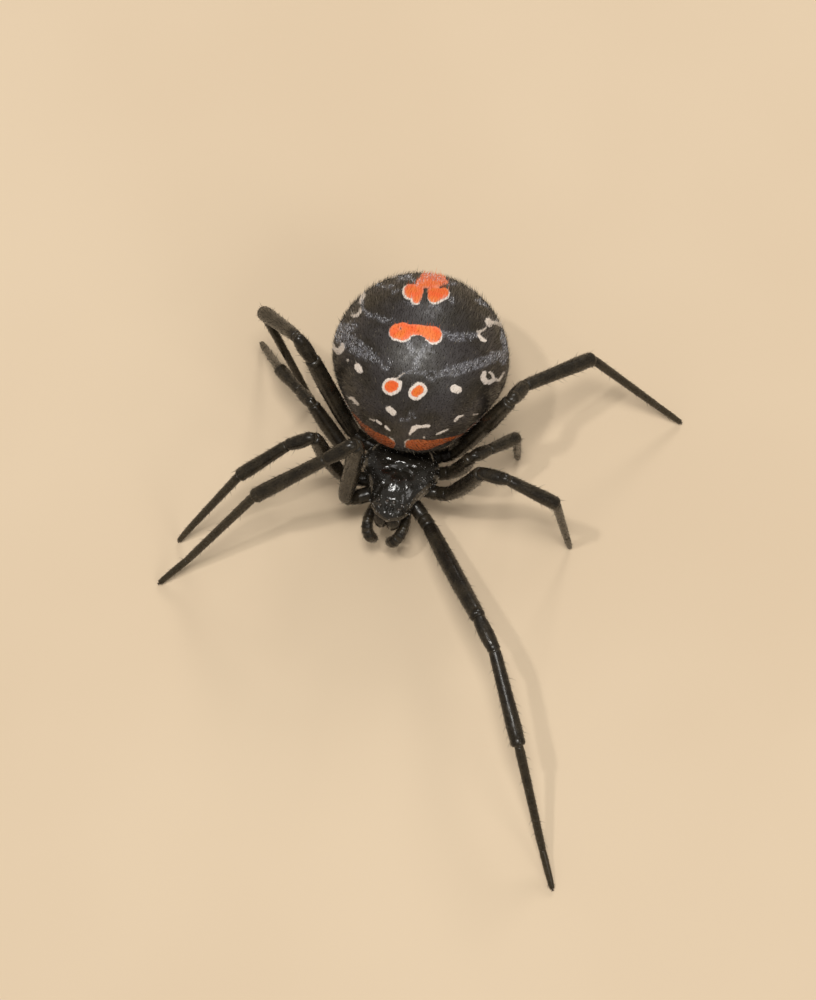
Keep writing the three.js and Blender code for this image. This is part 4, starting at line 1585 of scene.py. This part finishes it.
@dataclass
class Mouthparts:
    """The two jaws with their fangs, and the two feelers with their claws."""

    palette: Palette
    jaw_line: tuple = ((0.26, -3.10, 0.34), (0.27, -3.50, 0.42), (0.28, -3.74, 0.12),
                       (0.255, -3.81, -0.40))
    jaw_radii: tuple = ((0, 0.29), (0.25, 0.33), (0.6, 0.325), (0.88, 0.27), (1, 0.20))
    fang_line: tuple = ((0.30, -3.78, -0.42), (0.24, -3.66, -0.56), (0.17, -3.48, -0.62),
                        (0.10, -3.33, -0.63))
    fang_radii: tuple = ((0, 0.09), (0.4, 0.065), (1, 0.012))
    palp_line: tuple = ((0.66, -2.72, -0.6), (0.83, -3.3, -0.60), (0.885, -3.86, -0.54),
                        (0.82, -4.16, -0.70), (0.64, -4.40, -1.02), (0.40, -4.30, -1.52))
    palp_turns: Pair = (7.0, 0.0)
    palp_radius: float = 0.25
    palp_scales: tuple[float, ...] = (0.86, 0.96, 1.0, 1.04, 1.0)
    joint_girth: tuple = ((0, 0.95), (0.25, 1.0), (0.75, 1.0), (1, 0.95))
    tip_girth: tuple = ((0, 0.95), (0.3, 1.0), (0.75, 0.84), (1, 0.55))
    overlap: float = 0.22
    knuckle: float = 0.93
    claw_length: float = 0.14

    def jaws(self) -> list[Piece]:
        """Makes both jaws, each with its fang folded below it.

        Returns:
            The left jaw and fang, then the right ones.
        """
        pieces = []
        head = Prosoma()
        for name, side in SIDES:
            mirror = np.array([side, 1, 1])
            jaw = Tube(head.world(np.array(self.jaw_line) * mirror), list(self.jaw_radii),
                       Chart().strip(0, 2), spacing=0.035, coat=0.9, rounding=0.8, square=2.0)
            fang = Tube(head.world(np.array(self.fang_line) * mirror), list(self.fang_radii),
                        Chart().strip(1, 2), sides=14, girth=Girth.ROUND, spacing=0.025).skin()
            fang.values = {}
            pieces.append(jaw.skin().to_piece(f"jaw_{name}", self.palette.jaw, "jaw",
                                              f"chelicera_{name}"))
            pieces.append(fang.to_piece(f"fang_{name}", self.palette.fang, "jaw"))
        return pieces

    def palps(self) -> list[Piece]:
        """Makes both feelers, joint by joint.

        Returns:
            The left feeler and its claw, then the right ones.
        """
        pieces = []
        last = len(self.palp_scales) - 1
        for (name, side), turn in zip(SIDES, self.palp_turns):
            line = np.array(self.palp_line) * np.array([side, 1, 1])
            angle = -side * math.radians(turn)
            cosine, sine = math.cos(angle), math.sin(angle)
            spin = np.array([[cosine, -sine, 0], [sine, cosine, 0], [0, 0, 1]])
            line = Prosoma().world(line[0] + (line - line[0]) @ spin.T)
            skins = []
            for number, scale in enumerate(self.palp_scales):
                start, end = line[number], line[number + 1]
                radius = self.palp_radius * scale
                girth = self.tip_girth if number == last else self.joint_girth
                reach = self.overlap * radius * unit(end - start)
                cuts = np.linspace(start - reach, end if number == last else end + reach, 4)
                skins.append(Tube(cuts, [(part, share * radius) for part, share in girth],
                                  Chart().strip(2 * number, 10), spacing=0.035).skin())
                if number < last:
                    skins.append(joint_ball(end, self.knuckle * radius,
                                            Chart().strip(2 * number + 1, 10)))
            pieces.append(Skin.joined(skins).to_piece(f"palp_{name}_skin", self.palette.leg, "leg",
                                                      f"palp_{name}"))
            claw = Claw(line[-1], unit(line[-1] - line[-2]), self.claw_length).skin()
            pieces.append(claw.to_piece(f"palp_{name}_claw", self.palette.claw, "leg"))
        return pieces

    def build(self) -> list[Piece]:
        """Makes the jaws and the feelers."""
        return self.jaws() + self.palps()


@dataclass
class Claw:
    """A small curved claw at the tip of a limb.

    Attributes:
        root: where it leaves the limb.
        way: the direction in which it starts.
        length: its length.
        sideways: how far its tip leans to one side.
        radii: its radius at parts of its length.
        sunk: share of its length by which it starts inside the limb.
        hook: how strongly it bends down.
    """

    root: Array
    way: Array
    length: float
    sideways: float = 0.0
    radii: tuple = ((0, 0.035), (0.5, 0.026), (1, 0.006))
    sunk: float = 0.25
    hook: float = 0.35

    def skin(self) -> Skin:
        """Makes one hooked horn that bends down.

        Returns:
            Its closed surface.
        """
        across = np.cross(self.way, np.array([0.0, 0.0, 1.0]))
        across = unit(across) if np.linalg.norm(across) > 0.05 else np.array([1.0, 0.0, 0.0])
        down = np.cross(across, self.way)
        down = down if down[2] < 0 else -down
        t = np.linspace(-self.sunk, 1, 6)[:, None]
        line = (self.root + self.way * self.length * (t - 0.25 * t ** 2)
                + down * self.length * self.hook * t ** 2 + across * self.sideways * t)
        skin = Tube(line, list(self.radii), Chart(), sides=8, girth=Girth.ROUND, spacing=0.02).skin()
        skin.values = {}
        return skin


@dataclass
class Leg:
    """One leg: seven joints of hard cuticle with soft membranes between them, and its claws."""

    name: str
    palette: Palette
    ankle_share: float = 0.735
    coxa: tuple = ((0, 0.25), (0.15, 0.315), (0.75, 0.335), (1, 0.305))
    trochanter: tuple = ((0, 0.30), (0.3, 0.325), (0.8, 0.32), (1, 0.29))
    coxa_half: float = 0.33
    metatarsus: tuple = ((0, 0.195), (0.06, 0.22), (0.5, 0.195), (0.93, 0.175), (1, 0.165))
    tarsus: tuple = ((0, 0.155), (0.15, 0.167), (0.6, 0.155), (0.92, 0.13), (1, 0.105))
    split: int = 8
    thick_from: int = 3
    thick_to: int = 8
    root_points: int = 7
    root_length: float = 0.35
    sole: float = 0.02
    toe_rise: float = 0.1
    rear_foot: float = 0.94
    overlap: float = 0.2
    knuckle: float = 0.94
    claw_length: float = 0.13
    claw_fork: float = 0.06
    claw_floor: float = 0.004
    strips: int = 14

    def node(self, joint: str) -> str:
        """Name of the solid of one joint."""
        return f"leg_{self.name}_{joint}"

    def line(self, joint: str, start: Array, end: Array, cuts: int = 9) -> tuple[Array, Radii]:
        """Reads a joint's middle line and its girth from its solid.

        Args:
            joint: the joint's name.
            start: where the line starts.
            end: where it ends.
            cuts: how many times the solid is cut across.

        Returns:
            Points along the middle, and pairs of the part of the length and the radius there.
        """
        points, triangles = Solids.mesh(self.node(joint))
        axis = unit(end - start)
        middles, radii = [start], []
        for part in np.linspace(0.1, 0.9, cuts):
            middle, radius = Solids.section(points, triangles, start + part * (end - start), axis)
            middles.append(middle)
            radii.append((float(part), radius))
        middles.append(end)
        return np.array(middles), [(0.0, 0.95 * radii[0][1]), *radii, (1.0, 0.95 * radii[-1][1])]

    def meetings(self) -> list[Array]:
        """Hip, knee, shin and heel: where two solids of the leg meet."""
        nodes = [self.node(joint) for joint in LIMB]
        return [0.5 * (Solids.facing(a, b) + Solids.facing(b, a)) for a, b in zip(nodes, nodes[1:])]

    def joints(self) -> list[tuple[Array, Radii, float]]:
        """Reads each joint of the leg from the solids, from the hip out.

        Returns:
            For each joint its line, its radii and the length of its bristles.
        """
        hip, knee, shin, heel = self.meetings()
        coxa_points, _ = Solids.mesh(self.node("coxa"))
        order = np.argsort(-np.linalg.norm(coxa_points - hip, axis=1))
        root = coxa_points[order[:self.root_points]].mean(axis=0)
        foot_points, _ = Solids.mesh(self.node("foot"))
        tip = foot_points[foot_points[:, 2] < self.sole].mean(axis=0)
        coxa_line, coxa_radii = self.line("coxa", root, hip, 11)
        coxa_line[0] = coxa_line[1] + unit(coxa_line[0] - coxa_line[3]) * self.root_length
        neck = coxa_line[self.split]
        thick = [radius for _, radius in coxa_radii[self.thick_from:self.thick_to]]
        scale = np.mean(thick) / self.coxa_half
        foot_line, _ = self.line("foot", heel, tip, 9)
        ankle = along_line(foot_line, self.ankle_share * travelled(foot_line)[-1])
        girth = 1.0 if self.name.endswith("1") else self.rear_foot
        toe = tip + np.array([0, 0, self.toe_rise])
        return [
            (np.concatenate([coxa_line[:self.split:2], [neck]]), self.scaled(self.coxa, scale), 0.9),
            (np.array([neck, 0.5 * (neck + hip), hip]), self.scaled(self.trochanter, scale), 0.9),
            (*self.line("femur", hip, knee), 1.0),
            (*self.line("patella", knee, shin, 7), 1.0),
            (*self.line("tibia", shin, heel), 1.1),
            (np.linspace(heel, ankle, 5), self.scaled(self.metatarsus, girth), 0.85),
            (np.linspace(ankle, toe, 4), self.scaled(self.tarsus, girth), 0.7),
        ]

    @staticmethod
    def scaled(radii: tuple, scale: float) -> Radii:
        """A joint's radii, all made larger or smaller."""
        return [(part, radius * scale) for part, radius in radii]

    def stretched(self, line: Array, radii: Radii, last: bool) -> Array:
        """The line drawn a little past its ends, so that the joints of the leg meet closely.

        Args:
            line: points along the joint's middle.
            radii: its radius at parts of its length.
            last: whether it is the leg's last joint, which keeps its end.

        Returns:
            The longer line.
        """
        first = line[0] - unit(line[1] - line[0]) * self.overlap * radii[0][1]
        end = line[-1] if last else line[-1] + unit(line[-1] - line[-2]) * self.overlap * radii[-1][1]
        return np.concatenate([[first], line[1:-1], [end]])

    def build(self) -> list[Piece]:
        """Makes the leg's skin and its claws.

        Returns:
            Both pieces.
        """
        skins = []
        joints = self.joints()
        for number, (line, radii, coat_length) in enumerate(joints):
            last = number == len(joints) - 1
            skins.append(Tube(self.stretched(line, radii, last), radii,
                              Chart().strip(2 * number, self.strips), coat_length=coat_length).skin())
            if not last:
                radius = self.knuckle * min(radii[-1][1], joints[number + 1][1][0][1])
                skins.append(joint_ball(line[-1], radius, Chart().strip(2 * number + 1, self.strips)))
        for number, skin in enumerate(skins):
            skin.values["outward"] = (number + skin.values["outward"]) / len(skins)
        leg = Skin.joined(skins).to_piece(f"leg_{self.name}_skin", self.palette.leg, "leg",
                                          *(self.node(joint) for joint in LIMB))
        toe, ankle = joints[-1][0][-1], joints[-1][0][0]
        level = unit(unit(toe - ankle) * np.array([1, 1, 0.35]))
        claws = Skin.joined([Claw(toe - np.array([0, 0, 0.02]), level, self.claw_length, lean).skin()
                             for lean in (-self.claw_fork, self.claw_fork)])
        claws.points[:, 2] = np.maximum(claws.points[:, 2], self.claw_floor)
        return [leg, claws.to_piece(f"leg_{self.name}_claws", self.palette.claw, "leg")]


@dataclass(frozen=True)
class Coat:
    """Sizes of one coat of bristles, in millimetres and degrees."""

    name: str
    spacing: float
    length: float
    spread: float = 0.3
    thickness: float = 0.011
    stand: float = 32.0
    stand_spread: float = 12.0
    curl: float = 4.0
    tousle: float = 0.18
    seed: int = 1


class BristleTree(NodeTree):
    """Geometry Nodes that grow curved, tapered bristles along the lie that a skin carries."""

    SIZES = ("Spacing", "Length", "Spread", "Thickness", "Stand", "Stand spread", "Curl", "Tousle")
    STAND_SALT, LENGTH_SALT, SHADE_SALT = 11, 31, 41
    STRAY_SALTS = (20, 21, 22)
    MOST = 1.5  # roots tried for a square as wide as the spacing

    def __init__(self, mask: str) -> None:
        """Builds the tree.

        Args:
            mask: name of the skin's value that says how thickly the bristles grow.
        """
        self.tree = bpy.data.node_groups.new(f"bristles by {mask}", "GeometryNodeTree")
        sockets = [("Geometry", "INPUT", "Geometry"), *((name, "INPUT", "Float") for name in self.SIZES),
                   ("Seed", "INPUT", "Int"), ("Finish", "INPUT", "Material"),
                   ("Geometry", "OUTPUT", "Geometry")]
        for name, way, kind in sockets:
            self.tree.interface.new_socket(name, in_out=way, socket_type=f"NodeSocket{kind}")
        self.start = self.tree.nodes.new("NodeGroupInput")
        self._grow(mask)

    def given(self, name: str) -> Socket:
        """One of the tree's inputs."""
        return self.start.outputs[name]

    def join(self, first: Fed, second: Fed) -> Socket:
        """The sum of two vectors."""
        return self.add("ShaderNodeVectorMath", {0: first, 1: second}, operation="ADD").outputs[0]

    def times(self, vector: Fed, amount: Fed) -> Socket:
        """A vector made longer or shorter."""
        inputs = {0: vector, "Scale": amount}
        return self.add("ShaderNodeVectorMath", inputs, operation="SCALE").outputs[0]

    def triple(self, *parts: Fed) -> Socket:
        """A vector from its first parts, nothing where they end."""
        return self.add("ShaderNodeCombineXYZ", dict(enumerate(parts))).outputs[0]

    def store(self, geometry: Socket, name: str, value: Fed, kind: str = "FLOAT_VECTOR",
              domain: str = "POINT") -> Socket:
        """Puts a named value on each point or corner.

        Args:
            geometry: what gets the value.
            name: the value's name.
            value: the value.
            kind: its type.
            domain: whether it lies on points or on corners.

        Returns:
            The geometry with the value.
        """
        inputs = {"Geometry": geometry, "Name": name, "Value": value}
        return self.add("GeometryNodeStoreNamedAttribute", inputs, data_type=kind,
                        domain=domain).outputs[0]

    def carried(self, name: str, kind: str = "FLOAT") -> Socket:
        """A value that the skin carries."""
        return self.add("GeometryNodeInputNamedAttribute", {"Name": name}, data_type=kind).outputs[0]

    def chance(self, low: float, high: float, salt: int) -> Socket:
        """A random number for each bristle, fixed by the seed.

        Args:
            low: the least that it may be.
            high: the most that it may be.
            salt: makes it differ from the other random numbers.

        Returns:
            The number.
        """
        seed = self.maths("ADD", self.given("Seed"), float(salt))
        node = self.add("FunctionNodeRandomValue", {"Seed": seed}, data_type="FLOAT")
        limits = [socket for socket in node.inputs if socket.enabled and socket.name in ("Min", "Max")]
        for socket, value in zip(limits, (low, high)):
            socket.default_value = value
        return next(socket for socket in node.outputs if socket.enabled)

    def _hair(self) -> Socket:
        """One bent spike, one unit tall and one thick, with its own patch coordinates.

        Returns:
            Its mesh.
        """
        cone = self.add("GeometryNodeMeshCone", {"Vertices": 3, "Side Segments": 2, "Radius Top": 0.0,
                                                 "Radius Bottom": 1.0, "Depth": 1.0})
        place = self.add("GeometryNodeInputPosition", {}).outputs[0]
        across, _, up = self.add("ShaderNodeSeparateXYZ", {0: place}).outputs
        patch = self.triple(self.maths("MULTIPLY", across, 0.5), self.maths("SUBTRACT", up, 0.5))
        square = self.maths("MULTIPLY", up, up)
        bend = self.triple(self.maths("MULTIPLY", square, self.given("Curl")))
        return self.add("GeometryNodeSetPosition", {
            "Geometry": self.store(cone.outputs["Mesh"], "patch", patch), "Offset": bend}).outputs[0]

    def _grow(self, mask: str) -> None:
        """Scatters the roots, stands a spike on each along the lie, and writes the chart.

        Args:
            mask: name of the skin's value that says how thickly the bristles grow.
        """
        spacing = self.given("Spacing")
        most = self.maths("DIVIDE", self.MOST, self.maths("MULTIPLY", spacing, spacing))
        scatter = self.add("GeometryNodeDistributePointsOnFaces", {
            "Mesh": self.given("Geometry"), "Distance Min": spacing, "Density Max": most,
            "Density Factor": self.carried(mask), "Seed": self.given("Seed")},
            distribute_method="POISSON")
        rooted = self.store(scatter.outputs["Points"], "root", self.carried(SKIN_CHART, "FLOAT_VECTOR"))
        # A random number for each bristle, which picks the few painted pale as glints.
        rooted = self.store(rooted, "shade", self.chance(0.0, 1.0, self.SHADE_SALT), "FLOAT")
        stand = self.maths("ADD", self.given("Stand"), self.maths(
            "MULTIPLY", self.given("Stand spread"), self.chance(-1.0, 1.0, self.STAND_SALT)))
        lie = self.carried("lie", "FLOAT_VECTOR")
        way = self.join(self.times(lie, self.maths("COSINE", stand)),
                        self.times(scatter.outputs["Normal"], self.maths("SINE", stand)))
        stray = self.triple(*(self.chance(-1.0, 1.0, salt) for salt in self.STRAY_SALTS))
        way = self.join(way, self.times(stray, self.given("Tousle")))
        upright = self.add("FunctionNodeAlignRotationToVector", {"Vector": way}, axis="Z")
        turned = self.add("FunctionNodeAlignRotationToVector", {
            "Rotation": upright.outputs[0], "Vector": lie}, axis="X", pivot_axis="Z")
        varied = self.maths("ADD", 1.0, self.maths(
            "MULTIPLY", self.given("Spread"), self.chance(-1.0, 1.0, self.LENGTH_SALT)))
        tall = self.maths("MULTIPLY", self.maths("MULTIPLY", self.given("Length"), varied),
                          self.carried("coat_length"))
        grown = self.add("GeometryNodeInstanceOnPoints", {
            "Points": rooted, "Instance": self._hair(), "Rotation": turned.outputs[0],
            "Scale": self.triple(self.given("Thickness"), self.given("Thickness"), tall)})
        real = self.add("GeometryNodeRealizeInstances", {"Geometry": grown.outputs[0]})
        chart = self.join(self.carried("root", "FLOAT_VECTOR"),
                          self.times(self.carried("patch", "FLOAT_VECTOR"), TUFT_PATCH))
        charted = self.store(real.outputs[0], COAT_CHART, chart, "FLOAT2", "CORNER")
        smooth = self.add("GeometryNodeSetShadeSmooth", {"Geometry": charted})
        finished = self.add("GeometryNodeSetMaterial", {
            "Geometry": smooth.outputs[0], "Material": self.given("Finish")})
        self.add("NodeGroupOutput", {0: finished.outputs[0]})

    def grow(self, skin: Piece, coat: Coat, material: Material,
             slot: str, kept: tuple[str, ...] = ()) -> Piece:
        """Grows one coat on a skin and returns it as a plain mesh object.

        Args:
            skin: the object that the bristles grow on.
            coat: their sizes.
            material: their finish.
            slot: not used.
            kept: values of the skin that the finish reads.

        Returns:
            The coat, in a mesh of its own.
        """
        grower = skin.modifiers.new("bristles", "NODES")
        grower.node_group = self.tree
        sizes = {
            "Spacing": coat.spacing * MM, "Length": coat.length * MM, "Spread": coat.spread,
            "Thickness": coat.thickness * MM, "Stand": math.radians(coat.stand),
            "Stand spread": math.radians(coat.stand_spread), "Curl": coat.curl, "Tousle": coat.tousle,
            "Seed": coat.seed, "Finish": material}
        for socket in self.tree.interface.items_tree:
            if socket.in_out == "INPUT" and socket.name in sizes:
                grower[socket.identifier] = sizes[socket.name]
        graph = bpy.context.evaluated_depsgraph_get()
        mesh = bpy.data.meshes.new_from_object(skin.evaluated_get(graph))
        skin.modifiers.remove(grower)
        mesh.name = coat.name
        for extra in [value.name for value in mesh.attributes]:
            if extra in UNKEPT and extra not in kept and extra in mesh.attributes:
                mesh.attributes.remove(mesh.attributes[extra])
        piece = linked(coat.name, mesh)
        return piece


@dataclass
class Coats:
    """Every coat of bristles and down on the spider."""

    palette: Palette
    tree: BristleTree
    down_tree: BristleTree

    def on_abdomen(self, skin: Piece) -> list[Piece]:
        """Short dark bristles all over the abdomen and pale down, partly painted sheen, along its
        streaks.

        Args:
            skin: the abdomen.

        Returns:
            The four coats.
        """
        coats = [self.tree.grow(skin, coat, self.palette.marked_bristle, "abdomen", TINTS) for coat in (
            Coat("abdomen_bristles", 0.102, 0.20, stand=40, thickness=0.0095, seed=3),
            Coat("abdomen_short_bristles", 0.104, 0.13, stand=20, thickness=0.008, tousle=0.3, seed=4),
            Coat("abdomen_long_bristles", 0.34, 0.30, stand=50, thickness=0.012, seed=6))]
        down = Coat("abdomen_down", 0.074, 0.12, stand=14, thickness=0.018, tousle=0.7, seed=5)
        return [*coats, self.down_tree.grow(skin, down, self.palette.down, "abdomen")]

    def on_shell(self, skin: Piece, slot: str, coat: Coat) -> Piece:
        """One dark coat on a shell of the body, the jaws, a feeler or a leg."""
        return self.tree.grow(skin, coat, self.palette.bristle, slot)

    def glints(self, skin: Piece) -> Piece:
        """Very short hairs painted white on the carapace, as painted glints."""
        coat = Coat("carapace_glints", 0.085, 0.06, stand=14, thickness=0.0115, tousle=0.9, seed=61)
        return self.tree.grow(skin, coat, self.palette.glint, "carapace")

    def on_leg(self, skin: Piece, name: str, seed: int) -> list[Piece]:
        """Close short bristles and a few long ones on a leg.

        Args:
            skin: the leg.
            name: the leg's name.
            seed: fixes where the bristles stand.

        Returns:
            Both coats.
        """
        return [self.on_shell(skin, "leg", coat) for coat in (
            Coat(f"leg_{name}_bristles", 0.105, 0.15, stand=30, seed=seed, thickness=0.009),
            Coat(f"leg_{name}_long_bristles", 0.34, 0.30, stand=52, seed=seed + 40, curl=7.0))]


@dataclass(frozen=True)
class Lamp:
    """A square soft light that shines at the spider, with its sizes in metres and watts."""

    name: str
    place: Triple
    width: float
    power: float
    colour: Triple = (1.0, 0.98, 0.95)

    def light(self) -> None:
        """Hangs the lamp in its place."""
        data = bpy.data.lights.new(self.name, "AREA")
        data.size, data.energy, data.color = self.width, self.power, self.colour
        lamp = linked(self.name, data)
        lamp.location = Vector(self.place)
        lamp.rotation_euler = Vector(self.place).to_track_quat("Z", "Y").to_euler()


@dataclass
class Studio:
    """The pale floor and the soft light.

    Attributes:
        floor_half: half the floor's width in millimetres.
        floor_colours: the two tones that drift over the floor.
        lamps: a broad lamp overhead, a small hard one, a fill and one behind.
        sky: colour of the light from all round.
        sky_strength: how strong it is.
    """

    floor_half: float = 260.0
    floor_colours: tuple = ((0.655, 0.515, 0.360), (0.695, 0.555, 0.395))
    lamps: tuple[Lamp, ...] = (Lamp("key", (-0.01, -0.01, 0.38), 0.085, 0.72, (1.0, 0.98, 0.94)),
                               Lamp("flash", (-0.12, -0.02, 0.38), 0.016, 0.27),
                               Lamp("fill", (0.26, -0.14, 0.28), 0.16, 0.20),
                               Lamp("rear", (0.02, 0.36, 0.24), 0.10, 0.36))
    sky: Triple = (1.0, 0.95, 0.86)
    sky_strength: float = 0.32

    def floor(self) -> None:
        """Makes the plain pale floor that the spider stands on."""
        n = Nodes("studio floor")
        colour = n.mix(n.ramp(n.noise(30.0, 3), 0.3, 0.7), *map(rgba, self.floor_colours))
        half = self.floor_half * MM
        mesh = bpy.data.meshes.new("floor")
        corners = [(-half, -half, 0), (half, -half, 0), (half, half, 0), (-half, half, 0)]
        mesh.from_pydata(corners, [], [(0, 1, 2, 3)])
        mesh.materials.append(n.finish({"Base Color": colour, "Roughness": 0.85}))
        linked("floor", mesh)

    def light(self) -> None:
        """Hangs the lamps and lights the sky."""
        for lamp in self.lamps:
            lamp.light()
        world = bpy.data.worlds.new("sky")
        world.use_nodes = True
        background = world.node_tree.nodes["Background"].inputs
        background["Color"].default_value = rgba(self.sky)
        background["Strength"].default_value = self.sky_strength
        bpy.context.scene.world = world
        bpy.context.scene.view_settings.view_transform = "Standard"

    def build(self) -> None:
        """Sets the stage."""
        self.floor()
        self.light()


def main() -> None:
    """Builds the spider piece by piece, rides every piece on the body and logs the face and triangle
    counts.
    """
    logging.basicConfig(level=logging.INFO, format="%(name)s: %(message)s")
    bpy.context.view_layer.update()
    view = PhotoView()
    view.camera()
    Studio().build()
    palette = Palette()
    coats = Coats(palette, BristleTree("coat"), BristleTree("down"))

    pieces = []
    abdomen, waist = Abdomen(palette, view).build()
    pieces += [abdomen, waist, *coats.on_abdomen(abdomen)]
    shell, = Carapace(palette).build()
    coat = Coat("carapace_bristles", 0.15, 0.17, stand=38, seed=21)
    pieces += [shell, coats.on_shell(shell, "carapace", coat), coats.glints(shell)]
    plate, spinners = Breastplate(palette).build()
    for skin, slot, coat in (
            (plate, "carapace", Coat("breastplate_bristles", 0.15, 0.16, stand=40, seed=22)),
            (spinners, "leg", Coat("spinneret_bristles", 0.09, 0.14, stand=40, seed=23))):
        pieces += [skin, coats.on_shell(skin, slot, coat)]
    pieces += Eyes(palette).build()
    for number, piece in enumerate(Mouthparts(palette).build()):
        pieces.append(piece)
        if "claw" not in piece.name and "fang" not in piece.name:
            coat = Coat(f"{piece.name}_bristles", 0.095, 0.15, stand=36, seed=24 + number)
            pieces.append(coats.on_shell(piece, "jaw" if "jaw" in piece.name else "leg", coat))
    for number, name in enumerate(f"{side}_{pair}" for side, _ in SIDES for pair in range(1, 5)):
        leg, claws = Leg(name, palette).build()
        pieces += [leg, claws, *coats.on_leg(leg, name, 50 + number)]

    for piece in pieces:
        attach(piece, BODY)
        LOG.info("%s: %d faces", piece.name, len(piece.data.polygons))
    total = sum(len(face.vertices) - 2 for piece in pieces for face in piece.data.polygons)
    LOG.info("%d pieces, %d triangles", len(pieces), total)


if __name__ == "__main__":
    main()
